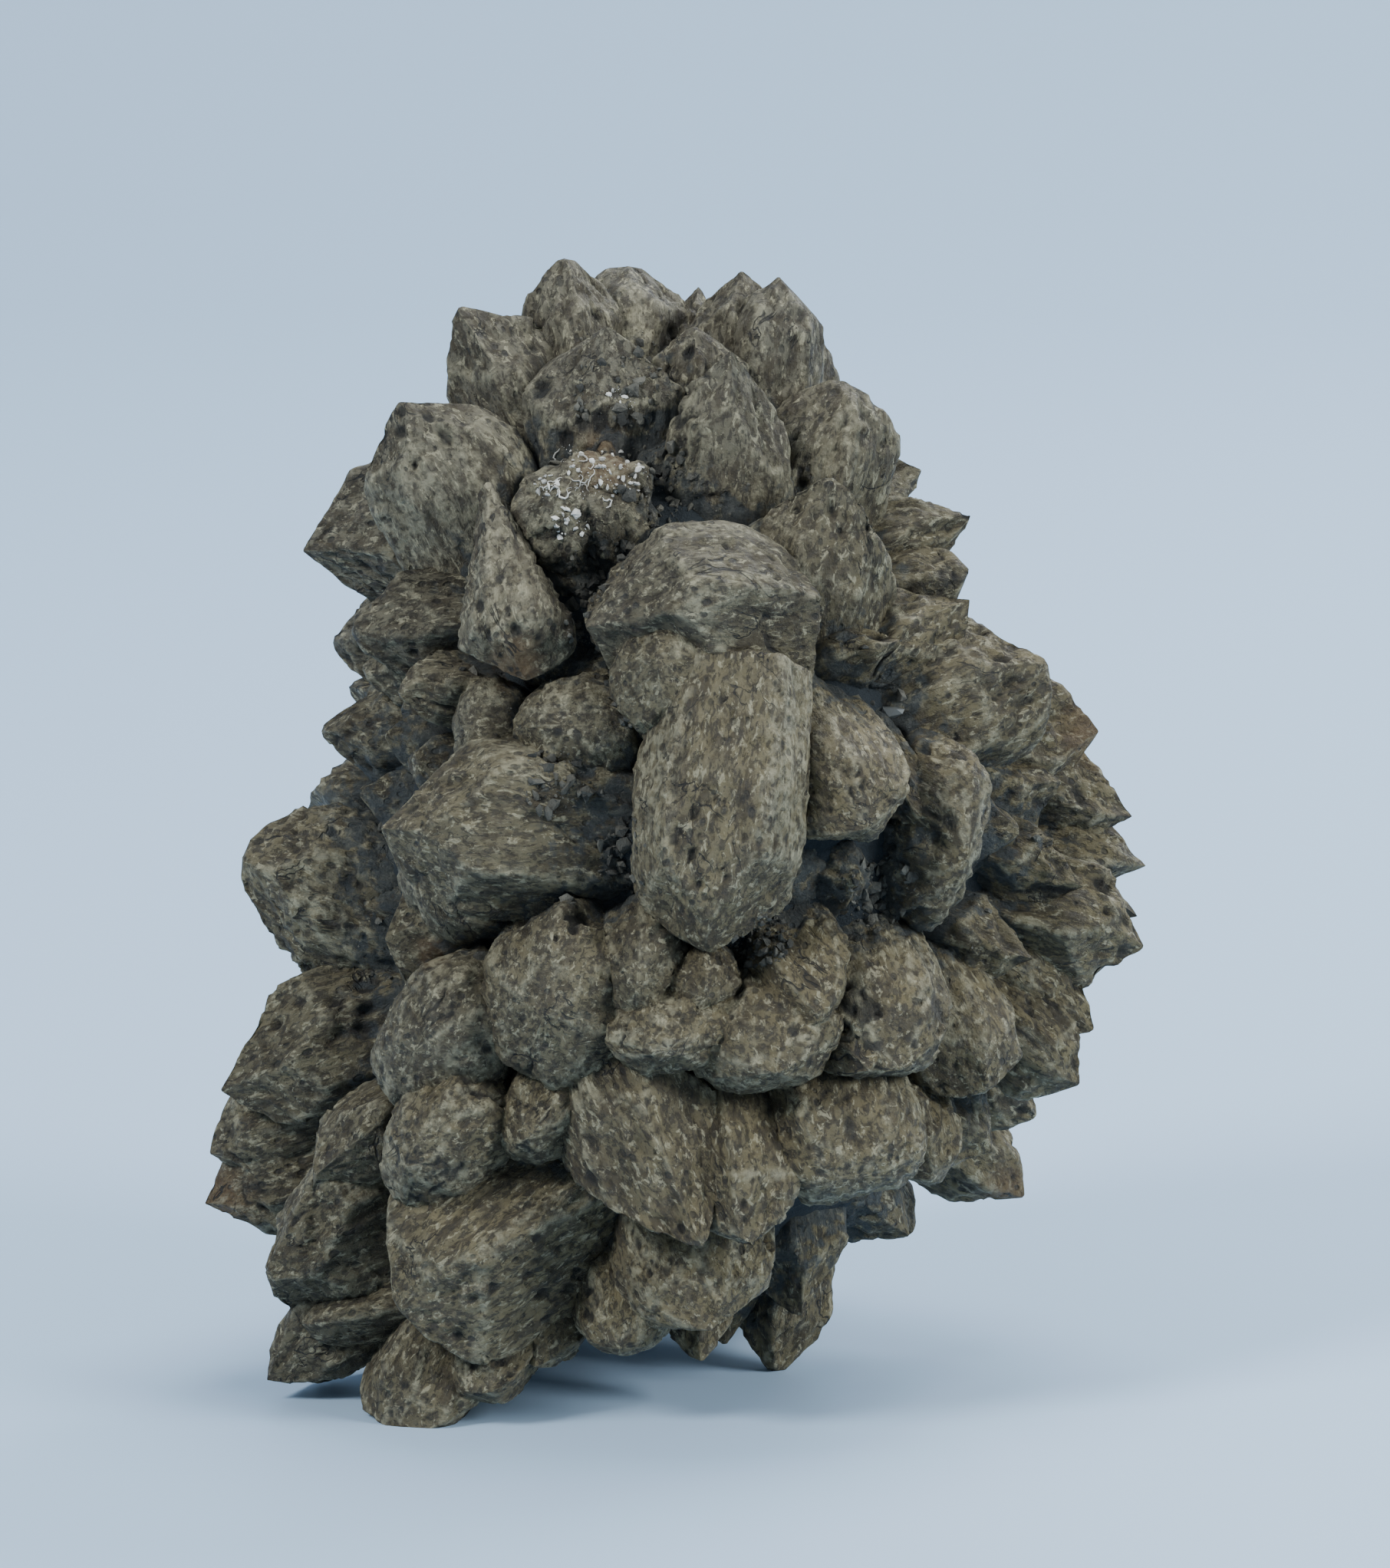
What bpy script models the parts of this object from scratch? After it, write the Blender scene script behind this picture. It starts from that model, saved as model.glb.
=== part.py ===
"""A pineapple calcite: one cluster of blunt, bladed crystals that grew outwards from a common trunk.

The crystals are placed in the cluster's front view, in millimetres: right, up, and toward the viewer.
The cluster is then leaned back by LEAN, which stands it on its feet, and cut off flat at their soles.
Everything is one solid, because the crystals grew together.
"""

import math
from typing import NamedTuple

import bmesh
import bpy
from mathutils import Matrix, Vector

NODE_NAME = "crystal_cluster"
MM = 0.001

# The whole cluster
LEAN = math.radians(12.0)  # the front view looks down on the standing cluster by this angle
SOLE_HEIGHT = 6.9  # where the floor lies in the leaned table, so that the feet are cut flat
ORIGIN_SHIFT = Vector((-0.05, -5.53, 0.0))  # from the table's upright axis to the middle of the box
BODY_DEPTH = 0.86  # the cluster's depth as a share of its width

# Outline of the crystals' tips in the front view: height, middle, half width
OUTLINE = (
    (6.0, -14.0, 22.0),
    (20.0, -9.0, 38.0),
    (35.0, -4.0, 47.0),
    (50.0, 1.0, 49.0),
    (70.0, 1.5, 53.0),
    (90.0, 1.0, 44.0),
    (110.0, -4.0, 35.0),
    (125.0, -4.0, 24.0),
    (140.0, -5.0, 8.0),
)

# The trunk that the crystals grow from
TRUNK_LOW, TRUNK_HIGH = 15.0, 126.0
TRUNK_INSET = 14.0  # how far the trunk's surface lies inside the tips
TRUNK_SLIMMEST = 6.0
TRUNK_ENDS = 2.2  # how steeply the trunk closes at its ends: 1 is an ellipse
TRUNK_SIDES, TRUNK_RINGS = 10, 8

# One crystal
LARGE_WIDE = 18.0
LARGE_RINGS = (0.1, 0.45, 0.74, 0.93)  # where the rings of corners lie, as shares of the length
RINGS = (0.1, 0.5, 0.86)
SMALL_WIDE = 11.0
SIDES, SMALL_SIDES = 6, 4
SQUARE_SHARP, SQUARE_BLUNT = 1.4, 0.18  # blunter crystals have squarer sections
CLOSED_GAP = 2e-6  # a gap narrower than this is grown shut
ROOT_SHARE = 0.86  # the width at the root, as a share of the widest
BELLY_AT = 0.48  # where along its length a crystal is widest
THICK_BLUNT, THICK_LEAST = 0.35, 1.5  # how blunt the thick side's tip is, beside the wide side's
UNEVEN_MM = 0.5  # how far growth has warped the faces
UNEVEN_PER_MM = 0.3  # radians of warp per millimetre
WARP_X, WARP_Y, WARP_Z = (1.3, 0.7), (1.1, 0.9), (1.2, -0.8)  # each way's own pace, so that no two repeat

FLOOR_SIDE, FLOOR_DEEP = 0.4, 0.05  # the block below the floor plane that cuts the soles flat


class Crystal(NamedTuple):
    """tip and root: right, up, toward the viewer. wide lies along turn, degrees from right to up.
    point: 1.5 is sharp, 3 a rounded petal, 6 a blunt block. bow: how far the belly swings along turn."""

    tip: tuple
    root: tuple
    wide: float
    thick: float
    turn: float
    point: float
    bow: float = 0.0


CROWN = (
    Crystal((-13.2, 140.4, 4), (-11.5, 117, 2), 13.0, 11.0, 5, 3.0),
    Crystal((-5.6, 139.8, -5), (-5.5, 116, -1), 14.0, 11.0, 0, 4.6),
    Crystal((-8.5, 131.4, 15), (-8, 108, 6), 18.0, 14.0, 0, 4.6),
    Crystal((2.8, 136.4, -5), (1, 114, -2), 11.0, 9.0, -10, 3.2),
    Crystal((8.0, 138.0, 3), (5.5, 116, 2), 12.0, 10.0, -10, 4.2),
    Crystal((13.0, 137.6, 6), (10, 115, 4), 11.5, 10.0, -8, 4.2),
    Crystal((16.6, 131.2, -2), (12, 110, 0), 9.0, 9.0, -10, 3.6),
    Crystal((3.0, 131.5, 12), (2, 110, 6), 11.0, 10.0, 0, 4.0),
)

UPPER_LEFT = (
    Crystal((-26.4, 133.8, 8), (-13, 108, 4), 16.5, 11.0, 28, 2.4, 2.4),
    Crystal((-27.3, 126.2, -10), (-12, 104, -6), 8.5, 7.5, 55, 2.8),
    Crystal((-32.8, 122.0, 16), (-20, 98, 9), 18.0, 11.0, 22, 3.6, 0.8),
    Crystal((-44.4, 104.5, 6), (-22, 104, 4), 18.0, 13.0, 85, 3.2, 1.2),
    Crystal((-41.8, 93.6, -3), (-22, 94, -2), 10.5, 10.0, 90, 4.5),
    Crystal((-38.9, 94.4, 20), (-18, 97, 12), 14.0, 11.0, 95, 3.4),
    Crystal((-37.9, 90.0, 13), (-20, 90, 8), 8.0, 9.0, 90, 3.4),
    Crystal((-21.5, 98.0, 29), (-13, 100, 8), 26.0, 11.0, 82, 4.5),
    Crystal((-12.0, 112.0, 28), (-9, 104, 6), 18.0, 14.5, 20, 5.5),
)

UPPER_RIGHT = (
    Crystal((6.6, 128.0, 21), (5.5, 98, 10), 14.0, 10.0, -3, 2.8),
    Crystal((20.4, 125.7, 11), (13.5, 98, 6), 15.5, 11.0, -14, 4.2),
    Crystal((19.0, 113.8, 25), (14.5, 86, 12), 18.0, 12.0, -12, 3.0),
    Crystal((29.6, 114.4, -6), (12, 106, -3), 11.0, 9.0, -70, 4.2),
    Crystal((35.4, 108.7, 6), (14, 102, 3), 9.5, 9.0, 108, 2.6),
    Crystal((35.5, 101.6, 9), (15, 98, 5), 8.5, 9.0, 100, 4.5),
    Crystal((35.0, 98.6, 17), (14, 84, 13), 15.5, 11.0, 125, 3.4),
    Crystal((27.0, 93.8, 25), (12, 89, 16), 8.5, 7.5, 100, 2.4),
    Crystal((35.0, 94.3, -6), (18, 88, -3), 8.0, 7.5, 90, 4.0),
)

RIGHT = (
    Crystal((45.0, 91.0, 15), (18, 80, 12), 17.5, 13.0, 112, 4.2),
    Crystal((46.8, 87.3, -4), (26, 82, -3), 11.0, 10.0, 100, 3.6),
    Crystal((50.6, 83.0, 6), (26, 79, 4), 16.0, 13.0, 98, 4.0),
    Crystal((54.6, 72.8, 4), (30, 80, 2), 13.0, 11.0, 72, 2.8),
    Crystal((53.3, 70.4, 3), (40, 74, 2), 5.0, 5.5, 80, 2.4),
    Crystal((56.3, 66.9, 2), (32, 72, 1), 13.0, 11.0, 78, 2.8),
    Crystal((55.5, 60.8, -4), (34, 68, -2), 10.5, 10.0, 60, 2.8),
    Crystal((55.8, 57.3, 10), (32, 63, 8), 16.0, 13.0, 75, 4.2),
    Crystal((48.5, 64.5, 16), (30, 71, 10), 9.5, 9.0, 70, 2.6),
    Crystal((50.1, 47.2, 11), (32, 58, 8), 11.5, 10.0, 60, 2.6),
    Crystal((48.0, 41.0, 15), (32, 54, 10), 11.5, 10.0, 52, 4.4),
    Crystal((34.5, 68.0, 33), (24, 74, 14), 20.5, 10.0, 78, 4.5),
    Crystal((22.5, 71.5, 41), (13, 86, 18), 15.5, 13.0, 25, 4.8),
    Crystal((30.3, 71.2, 31), (18, 86, 16), 9.5, 9.0, 40, 2.2),
    Crystal((21.8, 65.6, 33), (12, 66, 16), 12.0, 11.0, 80, 2.8),
    Crystal((26.5, 62.3, 27), (20, 60, 14), 7.5, 6.5, 80, 4.0),
    Crystal((46.0, 77.0, 11), (26, 76, 7), 13.5, 11.0, 95, 3.6),
)

CENTRE = (
    Crystal((-10.5, 95.0, 37), (14, 95.5, 22), 18.0, 21.0, 78, 4.4, 2.4),
    Crystal((-2.5, 90.5, 42), (1, 86, 20), 13.0, 11.5, 70, 4.5),
    Crystal((3.4, 56.4, 42), (7.6, 92.0, 31), 18.5, 20.0, 8, 4.2),
    Crystal((-13.0, 84.0, 36), (-7, 80, 14), 14.5, 13.0, 0, 6.0),
)

LEFT = (
    Crystal((-42.9, 83.0, 8), (-18, 82, 6), 12.5, 12.0, 92, 3.6),
    Crystal((-32.8, 87.8, 26), (-19, 88, 15), 8.5, 9.0, 95, 3.2),
    Crystal((-24.5, 83.5, 31), (-16, 82, 14), 12.0, 9.0, 95, 5.0),
    Crystal((-39.8, 77.2, -2), (-20, 70, -1), 10.5, 10.0, 105, 4.2),
    Crystal((-35.0, 78.6, 7), (-20, 72, 5), 8.0, 7.5, 110, 2.8),
    Crystal((-52.9, 68.3, 10), (-22, 58, 6), 18.5, 14.5, 108, 3.4),
    Crystal((-34.5, 71.5, 34), (-5, 70.5, 24), 20.0, 20.0, 95, 4.4),
    Crystal((-30.5, 65.5, 33), (-18, 62, 14), 14.5, 11.0, -40, 4.0),
    Crystal((-34.2, 58.5, 28), (-18, 60, 14), 14.5, 11.0, 85, 4.5),
    Crystal((-33.5, 68.0, 20), (-14, 67, 9), 14.0, 13.0, 90, 4.2),
    Crystal((-45.4, 55.0, 0), (-26, 52, 0), 9.5, 9.0, 95, 3.6),
)

LOWER_LEFT = (
    Crystal((-54.0, 40.3, 12), (-24, 51, 8), 18.0, 13.0, 70, 3.2, 0.6),
    Crystal((-31.0, 45.0, 38), (-20, 50, 16), 18.5, 15.5, 60, 5.0),
    Crystal((-54.2, 37.2, 4), (-34, 39, 4), 6.0, 7.5, 90, 3.2),
    Crystal((-55.5, 32.6, 6), (-30, 40, 4), 13.0, 10.0, 80, 4.2),
    Crystal((-56.2, 26.6, 4), (-30, 35, 3), 12.0, 10.0, 75, 3.6),
    Crystal((-43.0, 30.0, 27), (-26, 40, 14), 16.0, 12.0, 45, 3.8),
    Crystal((-31.5, 32.0, 40), (-20, 40, 18), 17.0, 13.0, 60, 4.5),
    Crystal((-17.5, 35.0, 39), (-12, 44, 18), 12.5, 11.0, 50, 4.0),
    Crystal((-49.0, 17.8, 24), (-27, 30, 10), 19.0, 14.5, 60, 4.2),
    Crystal((-33.0, 14.0, 36), (-5, 34, 16), 22.5, 19.0, 125, 4.8),
    Crystal((-45.0, 12.2, 21), (-20, 18, 14), 8.5, 10.0, 80, 2.8),
    Crystal((-48.4, 6.0, 17), (-28, 22, 8), 16.0, 12.0, 50, 4.2),
    Crystal((-32.5, -0.4, 29), (-22, 20, 10), 14.5, 13.0, 25, 5.0),
    Crystal((-24.0, 4.0, 31), (-16, 20, 14), 12.5, 11.0, 25, 4.2),
    Crystal((-16.5, 8.0, 29), (-10, 22, 12), 9.5, 9.0, 15, 3.2),
)

LOWER_CENTRE = (
    Crystal((-15.5, 49.5, 44), (-10, 56, 18), 20.5, 17.5, 80, 5.5),
    Crystal((-4.5, 52.5, 44), (-3, 60, 20), 13.5, 10.5, 85, 4.8),
    Crystal((3.5, 51.5, 44), (2, 58, 22), 10.0, 9.0, 80, 4.2),
    Crystal((-0.5, 45.5, 47), (-1, 52, 20), 14.5, 10.5, 5, 4.2),
    Crystal((17.6, 49.0, 44), (8, 63, 20), 14.0, 10.0, 35, 3.0),
    Crystal((12.0, 43.0, 46), (8, 54, 20), 17.0, 12.0, 10, 4.2),
    Crystal((22.8, 43.2, 41), (16, 52, 22), 9.5, 7.5, 20, 3.2),
    Crystal((26.5, 43.5, 40), (20, 60, 18), 16.0, 13.0, 5, 5.5),
    Crystal((3.4, 22.0, 47), (-9, 45, 20), 19.0, 14.0, 30, 3.0),
    Crystal((8.2, 22.6, 46), (5, 44, 20), 17.0, 14.0, 2, 4.2),
    Crystal((4.5, 12.6, 37), (-1, 34, 16), 18.5, 13.0, 12, 3.8),
    Crystal((-6.5, 9.6, 33), (-5, 28, 14), 12.0, 10.0, 0, 4.2),
    Crystal((3.0, 8.0, 21), (2, 24, 10), 8.0, 7.5, 0, 2.8),
)

LOWER_RIGHT = (
    Crystal((37.0, 40.0, 30), (26, 58, 14), 14.0, 11.0, 15, 4.2),
    Crystal((42.5, 56.0, 23), (28, 61, 14), 10.5, 10.0, 70, 2.8),
    Crystal((21.5, 30.0, 42), (16, 45, 20), 18.0, 15.5, 0, 5.5),
    Crystal((31.0, 30.0, 32), (24, 46, 16), 10.0, 10.0, 10, 5.0),
    Crystal((42.0, 27.0, -12), (20, 44, -6), 12.0, 11.0, 40, 3.6),
    Crystal((44.5, 46.5, 0), (24, 52, 0), 13.0, 12.0, 60, 3.8),
    Crystal((38.0, 33.0, 7), (20, 45, 4), 13.5, 12.5, 35, 4.0),
    Crystal((43.4, 36.8, -4), (26, 48, -3), 9.5, 9.0, 50, 3.8),
    Crystal((29.0, 22.2, -14), (14, 38, -8), 10.5, 10.0, 30, 3.6),
    Crystal((22.5, 21.2, -6), (14, 38, -4), 10.5, 10.0, 20, 3.6),
    Crystal((15.0, 13.0, 13), (13, 34, 6), 12.0, 11.0, 0, 3.0),
    Crystal((12.0, 5.4, 2), (13, 32, 0), 12.0, 11.0, 0, 3.4),
)

# Two feet and the stubs between them, out of sight behind and below
UNDERSIDE = (
    Crystal((9.0, 11.4, -31), (5, 38, -10), 14.5, 13.0, 0, 4.4),
    Crystal((-27.0, 10.2, -27), (-15, 36, -10), 16.0, 13.0, 0, 4.4),
    Crystal((-9.0, 10.0, 12), (-8, 30, 6), 14.5, 13.0, 30, 3.0),
    Crystal((-20.0, 10.5, 2), (-13, 30, 2), 14.5, 12.0, 70, 3.4),
    Crystal((-2.0, 11.8, -9), (-2, 32, -4), 16.0, 13.0, 10, 3.0),
    Crystal((-12.0, 13.4, -21), (-8, 34, -9), 14.5, 13.0, 50, 3.2),
    Crystal((6.0, 14.0, -18), (3, 32, -8), 12.5, 11.5, 20, 3.2),
    Crystal((-24.0, 12.8, -12), (-15, 32, -6), 12.5, 11.5, 60, 3.4),
    Crystal((-14.5, 11.0, -8), (-10, 30, -4), 12.0, 11.5, 0, 3.0),
    Crystal((6.0, 9.8, 6), (4, 30, 4), 12.0, 11.5, 30, 3.2),
    Crystal((-3.5, 16.4, -27), (-4, 34, -12), 13.0, 11.5, 40, 3.4),
)

# The side turned away from the viewer is filled by a rule: one crystal after another up a spiral
BACK_COUNT = 35
BACK_LOW, BACK_HIGH = 21.0, 131.0
BACK_FROM, BACK_TO = 88.0, 268.0  # degrees round the trunk, from the side facing the viewer
GOLDEN_SHARE = 0.618034
BACK_REACH = 0.92  # the tips lie just inside the outline seen from the front
BACK_WIDE, BACK_THICK = 24.0, 18.0
ROOT_REACH = 0.38
GROWTH_CENTRE = 72.0  # crystals above this height point up, and those below it point down
GROWTH_TILT = 0.36
BACK_SMALLEST, BACK_FULL_HALF = 0.72, 50.0  # crystals shrink where the outline is narrower than its full half
BACK_REACH_VARIES, BACK_WIDE_VARIES, BACK_THICK_VARIES = 0.05, 3.5, 2.5
BACK_POINT, BACK_POINT_VARIES = 3.6, 1.2
BACK_ROLL_FIRST, BACK_ROLL_STEP = 25.0, 67.0  # degrees by which each blade is rolled about its length
BACK_PACES = (2.1, 2.4, 1.7, 3.3)  # radians from one crystal's variation to the next one's


def outline_at(height):
    """The middle and the half width of the tips' outline at a height of the front view."""
    if height <= OUTLINE[0][0]:
        return OUTLINE[0][1:]
    for low, high in zip(OUTLINE, OUTLINE[1:]):
        if height <= high[0]:
            share = (height - low[0]) / (high[0] - low[0])
            return tuple(a + (b - a) * share for a, b in zip(low[1:], high[1:]))
    return OUTLINE[-1][1:]


def back_crystals():
    """The crystals of the far side, as (Crystal, direction of its wide side)."""
    grown = []
    for number in range(BACK_COUNT):
        height = BACK_LOW + (BACK_HIGH - BACK_LOW) * (number + 0.5) / BACK_COUNT
        around = math.radians(BACK_FROM + (BACK_TO - BACK_FROM) * (number * GOLDEN_SHARE % 1.0))
        middle, half = outline_at(height)
        vary = [math.sin(number * pace) for pace in BACK_PACES]
        reach = half * (BACK_REACH + BACK_REACH_VARIES * vary[0])
        sideways, forward = reach * math.sin(around), BODY_DEPTH * reach * math.cos(around)
        size = BACK_SMALLEST + (1 - BACK_SMALLEST) * half / BACK_FULL_HALF
        crystal = Crystal(
            tip=(middle + sideways, height, forward),
            root=(
                middle + ROOT_REACH * sideways,
                height + (GROWTH_CENTRE - height) * GROWTH_TILT,
                ROOT_REACH * forward,
            ),
            wide=size * (BACK_WIDE + BACK_WIDE_VARIES * vary[1]),
            thick=size * (BACK_THICK + BACK_THICK_VARIES * vary[2]),
            turn=0.0,
            point=BACK_POINT + BACK_POINT_VARIES * vary[3],
        )
        tangent = Vector((math.cos(around), 0.0, -math.sin(around)))
        roll = math.radians(BACK_ROLL_FIRST + number * BACK_ROLL_STEP)
        grown.append((crystal, tangent * math.cos(roll) + Vector((0, 1, 0)) * math.sin(roll)))
    return grown


def placed_crystals():
    """Every crystal with the direction of its wide side."""
    rows = CROWN + UPPER_LEFT + UPPER_RIGHT + RIGHT + CENTRE + LEFT
    rows += LOWER_LEFT + LOWER_CENTRE + LOWER_RIGHT + UNDERSIDE
    seen = [(c, Vector((math.cos(math.radians(c.turn)), math.sin(math.radians(c.turn)), 0))) for c in rows]
    return seen + back_crystals()


def standing(point):
    """A point of the front view, in mm, in the standing cluster's own frame, in metres."""
    right, up, forward = point
    y = up * math.sin(LEAN) - forward * math.cos(LEAN)
    z = up * math.cos(LEAN) + forward * math.sin(LEAN) - SOLE_HEIGHT
    return (Vector((right, y, z)) + ORIGIN_SHIFT) * MM


def uneven(point):
    """Growth's slow wander of the surface, in mm, at a point of the front view."""
    x, y, z = point * UNEVEN_PER_MM
    warps = ((y, z, WARP_X), (z, x, WARP_Y), (x, y, WARP_Z))
    return Vector([math.sin(pace[0] * a + pace[1] * b) for a, b, pace in warps]) * UNEVEN_MM


def widths_at(share, point):
    """The wide and the thick side at a place along the crystal, as shares of the widest."""
    if share < BELLY_AT:
        grown = math.sin(share / BELLY_AT * math.pi / 2)
        return (ROOT_SHARE + (1 - ROOT_SHARE) * grown,) * 2
    past = (share - BELLY_AT) / (1 - BELLY_AT)
    return 1 - past**point, 1 - past ** (THICK_BLUNT * point + THICK_LEAST)


def section(angle, squareness):
    """A point of a rhombus-like loop: squareness 1 is a rhombus, 2 an ellipse, 4 nearly a box."""
    x, y = math.cos(angle), math.sin(angle)
    power = 2.0 / squareness
    return math.copysign(abs(x) ** power, x), math.copysign(abs(y) ** power, y)


def crystal_mesh(bm, crystal, wide_way):
    """Adds one closed crystal, a shaped sphere, to bm."""
    root, tip = Vector(crystal.root), Vector(crystal.tip)
    axis = tip - root
    along = axis.normalized()
    across = (wide_way - along * wide_way.dot(along)).normalized()
    deep = along.cross(across)
    squareness = SQUARE_SHARP + SQUARE_BLUNT * crystal.point
    shares = (0.0,) + (LARGE_RINGS if crystal.wide > LARGE_WIDE else RINGS) + (1.0,)
    sides = SMALL_SIDES if crystal.wide <= SMALL_WIDE else SIDES
    made = bmesh.ops.create_uvsphere(bm, u_segments=sides, v_segments=len(shares) - 1, radius=1.0)
    for vert in made["verts"]:
        polar = math.atan2(math.hypot(vert.co.x, vert.co.y), -vert.co.z)
        ring = round(polar / math.pi * (len(shares) - 1))
        share = shares[ring]
        point = root + axis * share + across * crystal.bow * math.sin(math.pi * share)
        if ring not in (0, len(shares) - 1):
            wide, thick = widths_at(share, crystal.point)
            x, y = section(math.atan2(vert.co.y, vert.co.x), squareness)
            point += across * (x * wide * crystal.wide / 2) + deep * (y * thick * crystal.thick / 2)
        point += uneven(point)
        vert.co = standing(point)


def trunk_mesh(bm):
    """Adds the closed trunk that every crystal's root is sunk in."""
    made = bmesh.ops.create_uvsphere(bm, u_segments=TRUNK_SIDES, v_segments=TRUNK_RINGS, radius=1.0)
    for vert in made["verts"]:
        height = TRUNK_LOW + (TRUNK_HIGH - TRUNK_LOW) * (vert.co.z + 1) / 2
        middle, half = outline_at(height)
        closing = min(1.0, TRUNK_ENDS * math.hypot(vert.co.x, vert.co.y))
        girth = max(half - TRUNK_INSET, TRUNK_SLIMMEST) * closing
        around = math.atan2(vert.co.y, vert.co.x)
        point = Vector((middle + girth * math.cos(around), height, BODY_DEPTH * girth * math.sin(around)))
        point += uneven(point)
        vert.co = standing(point)


def closed_object(name, fill, collection):
    """An object from a function that adds one closed shape to a bmesh."""
    bm = bmesh.new()
    fill(bm)
    bm.normal_update()
    bmesh.ops.recalc_face_normals(bm, faces=bm.faces)
    mesh = bpy.data.meshes.new(name)
    bm.to_mesh(mesh)
    bm.free()
    made = bpy.data.objects.new(name, mesh)
    collection.objects.link(made)
    return made


def helper_collection(name):
    """A collection of shapes that the Booleans use and no render shows."""
    collection = bpy.data.collections.new(name)
    bpy.context.scene.collection.children.link(collection)
    collection.hide_render = True
    return collection


def helper(made):
    made.hide_render = True
    made.display_type = "WIRE"
    return made


def boolean(whole, operation, other):
    """Joins or cuts another closed shape. The exact solver leaves open edges where this many crystals meet."""
    step = whole.modifiers.new(other.name, "BOOLEAN")
    step.operation = operation
    step.solver = "MANIFOLD"
    step.object = other


def calcite():
    """Dull tan-grey, earthy crystal faces."""
    material = bpy.data.materials.new("calcite")
    material.use_nodes = True
    shader = material.node_tree.nodes["Principled BSDF"]
    shader.inputs["Base Color"].default_value = (0.235, 0.195, 0.125, 1.0)
    shader.inputs["Roughness"].default_value = 0.82
    shader.inputs["Metallic"].default_value = 0.0
    return material


def below_the_floor(bm):
    """A block whose top is the floor plane."""
    bmesh.ops.create_cube(bm, size=1.0, matrix=Matrix.Diagonal((FLOOR_SIDE, FLOOR_SIDE, FLOOR_DEEP, 1.0)))
    bmesh.ops.translate(bm, verts=bm.verts, vec=(0, 0, -FLOOR_DEEP / 2))


def keep_outer_shell(mesh):
    """Fills the hollows that crystals closed off between them: only the largest shell stays."""
    bm = bmesh.new()
    bm.from_mesh(mesh)
    bmesh.ops.triangulate(bm, faces=bm.faces)
    bmesh.ops.dissolve_degenerate(bm, edges=bm.edges, dist=CLOSED_GAP)
    left, shells = set(bm.faces), []
    while left:
        shell, edge = set(), [left.pop()]
        while edge:
            face = edge.pop()
            shell.add(face)
            near = {other for side in face.edges if side.is_manifold for other in side.link_faces} & left
            left -= near
            edge.extend(near)
        shells.append(shell)
    hollow = [face for shell in shells if shell is not max(shells, key=len) for face in shell]
    bmesh.ops.delete(bm, geom=hollow, context="FACES")
    bmesh.ops.delete(bm, geom=[vert for vert in bm.verts if not vert.link_faces], context="VERTS")
    bm.to_mesh(mesh)
    bm.free()


def build():
    for old in list(bpy.data.objects):
        bpy.data.objects.remove(old)
    shown = bpy.data.collections.new("pineapple_calcite")
    bpy.context.scene.collection.children.link(shown)
    crystals = helper_collection("crystals")
    cutters = helper_collection("cutters")

    cluster = closed_object(NODE_NAME, trunk_mesh, shown)
    cluster.data.materials.append(calcite())
    for number, (crystal, wide_way) in enumerate(placed_crystals()):
        blade = closed_object(f"crystal_{number}", lambda bm: crystal_mesh(bm, crystal, wide_way), crystals)
        boolean(cluster, "UNION", helper(blade))
    boolean(cluster, "DIFFERENCE", helper(closed_object("floor_cut", below_the_floor, cutters)))
    bpy.context.view_layer.update()
    whole = cluster.evaluated_get(bpy.context.evaluated_depsgraph_get())
    cluster.data = bpy.data.meshes.new_from_object(whole)
    cluster.modifiers.clear()
    keep_outer_shell(cluster.data)
    return cluster


build()
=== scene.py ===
import math
from typing import NamedTuple

import bmesh
import bpy
import numpy as np
from mathutils import Matrix, Vector


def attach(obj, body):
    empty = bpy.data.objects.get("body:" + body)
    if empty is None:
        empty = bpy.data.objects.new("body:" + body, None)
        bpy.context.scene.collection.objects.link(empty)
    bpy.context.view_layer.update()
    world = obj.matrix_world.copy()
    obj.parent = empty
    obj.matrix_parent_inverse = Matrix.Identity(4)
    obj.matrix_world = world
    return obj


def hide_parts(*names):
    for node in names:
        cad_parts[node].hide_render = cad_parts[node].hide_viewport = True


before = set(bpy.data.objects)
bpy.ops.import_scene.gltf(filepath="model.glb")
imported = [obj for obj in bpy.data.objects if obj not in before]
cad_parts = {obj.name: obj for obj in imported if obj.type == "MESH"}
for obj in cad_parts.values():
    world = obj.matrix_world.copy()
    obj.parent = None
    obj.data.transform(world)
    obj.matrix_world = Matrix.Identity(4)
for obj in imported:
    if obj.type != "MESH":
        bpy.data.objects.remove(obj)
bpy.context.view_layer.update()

NODE = "crystal_cluster"
MM = 0.001

# How the front view stands up in the part's frame (millimetres: right, up, toward the viewer)

LEAN = math.radians(12.0)
SOLE_HEIGHT = 6.9
ORIGIN_SHIFT = np.array([-0.05, -5.53, 0.0])
BODY_DEPTH = 0.86

RIGHT_WAY = np.array([1.0, 0.0, 0.0])
UP_WAY = np.array([0.0, math.sin(LEAN), math.cos(LEAN)])
VIEWER_WAY = np.array([0.0, -math.cos(LEAN), math.sin(LEAN)])


def standing(points):
    """Points of the front view in mm, as points of the standing cluster in metres."""
    turned = points @ np.array([RIGHT_WAY, UP_WAY, VIEWER_WAY])
    return (turned - [0, 0, SOLE_HEIGHT] + ORIGIN_SHIFT) * MM


# The crystals


class Crystal(NamedTuple):
    """tip and root: right, up, toward the viewer. wide lies along turn, degrees from right to up.
    point: 1.5 is sharp, 3 a rounded petal, 6 a blunt block. bow: how far the belly swings along turn."""

    tip: tuple
    root: tuple
    wide: float
    thick: float
    turn: float
    point: float
    bow: float = 0.0


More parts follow.
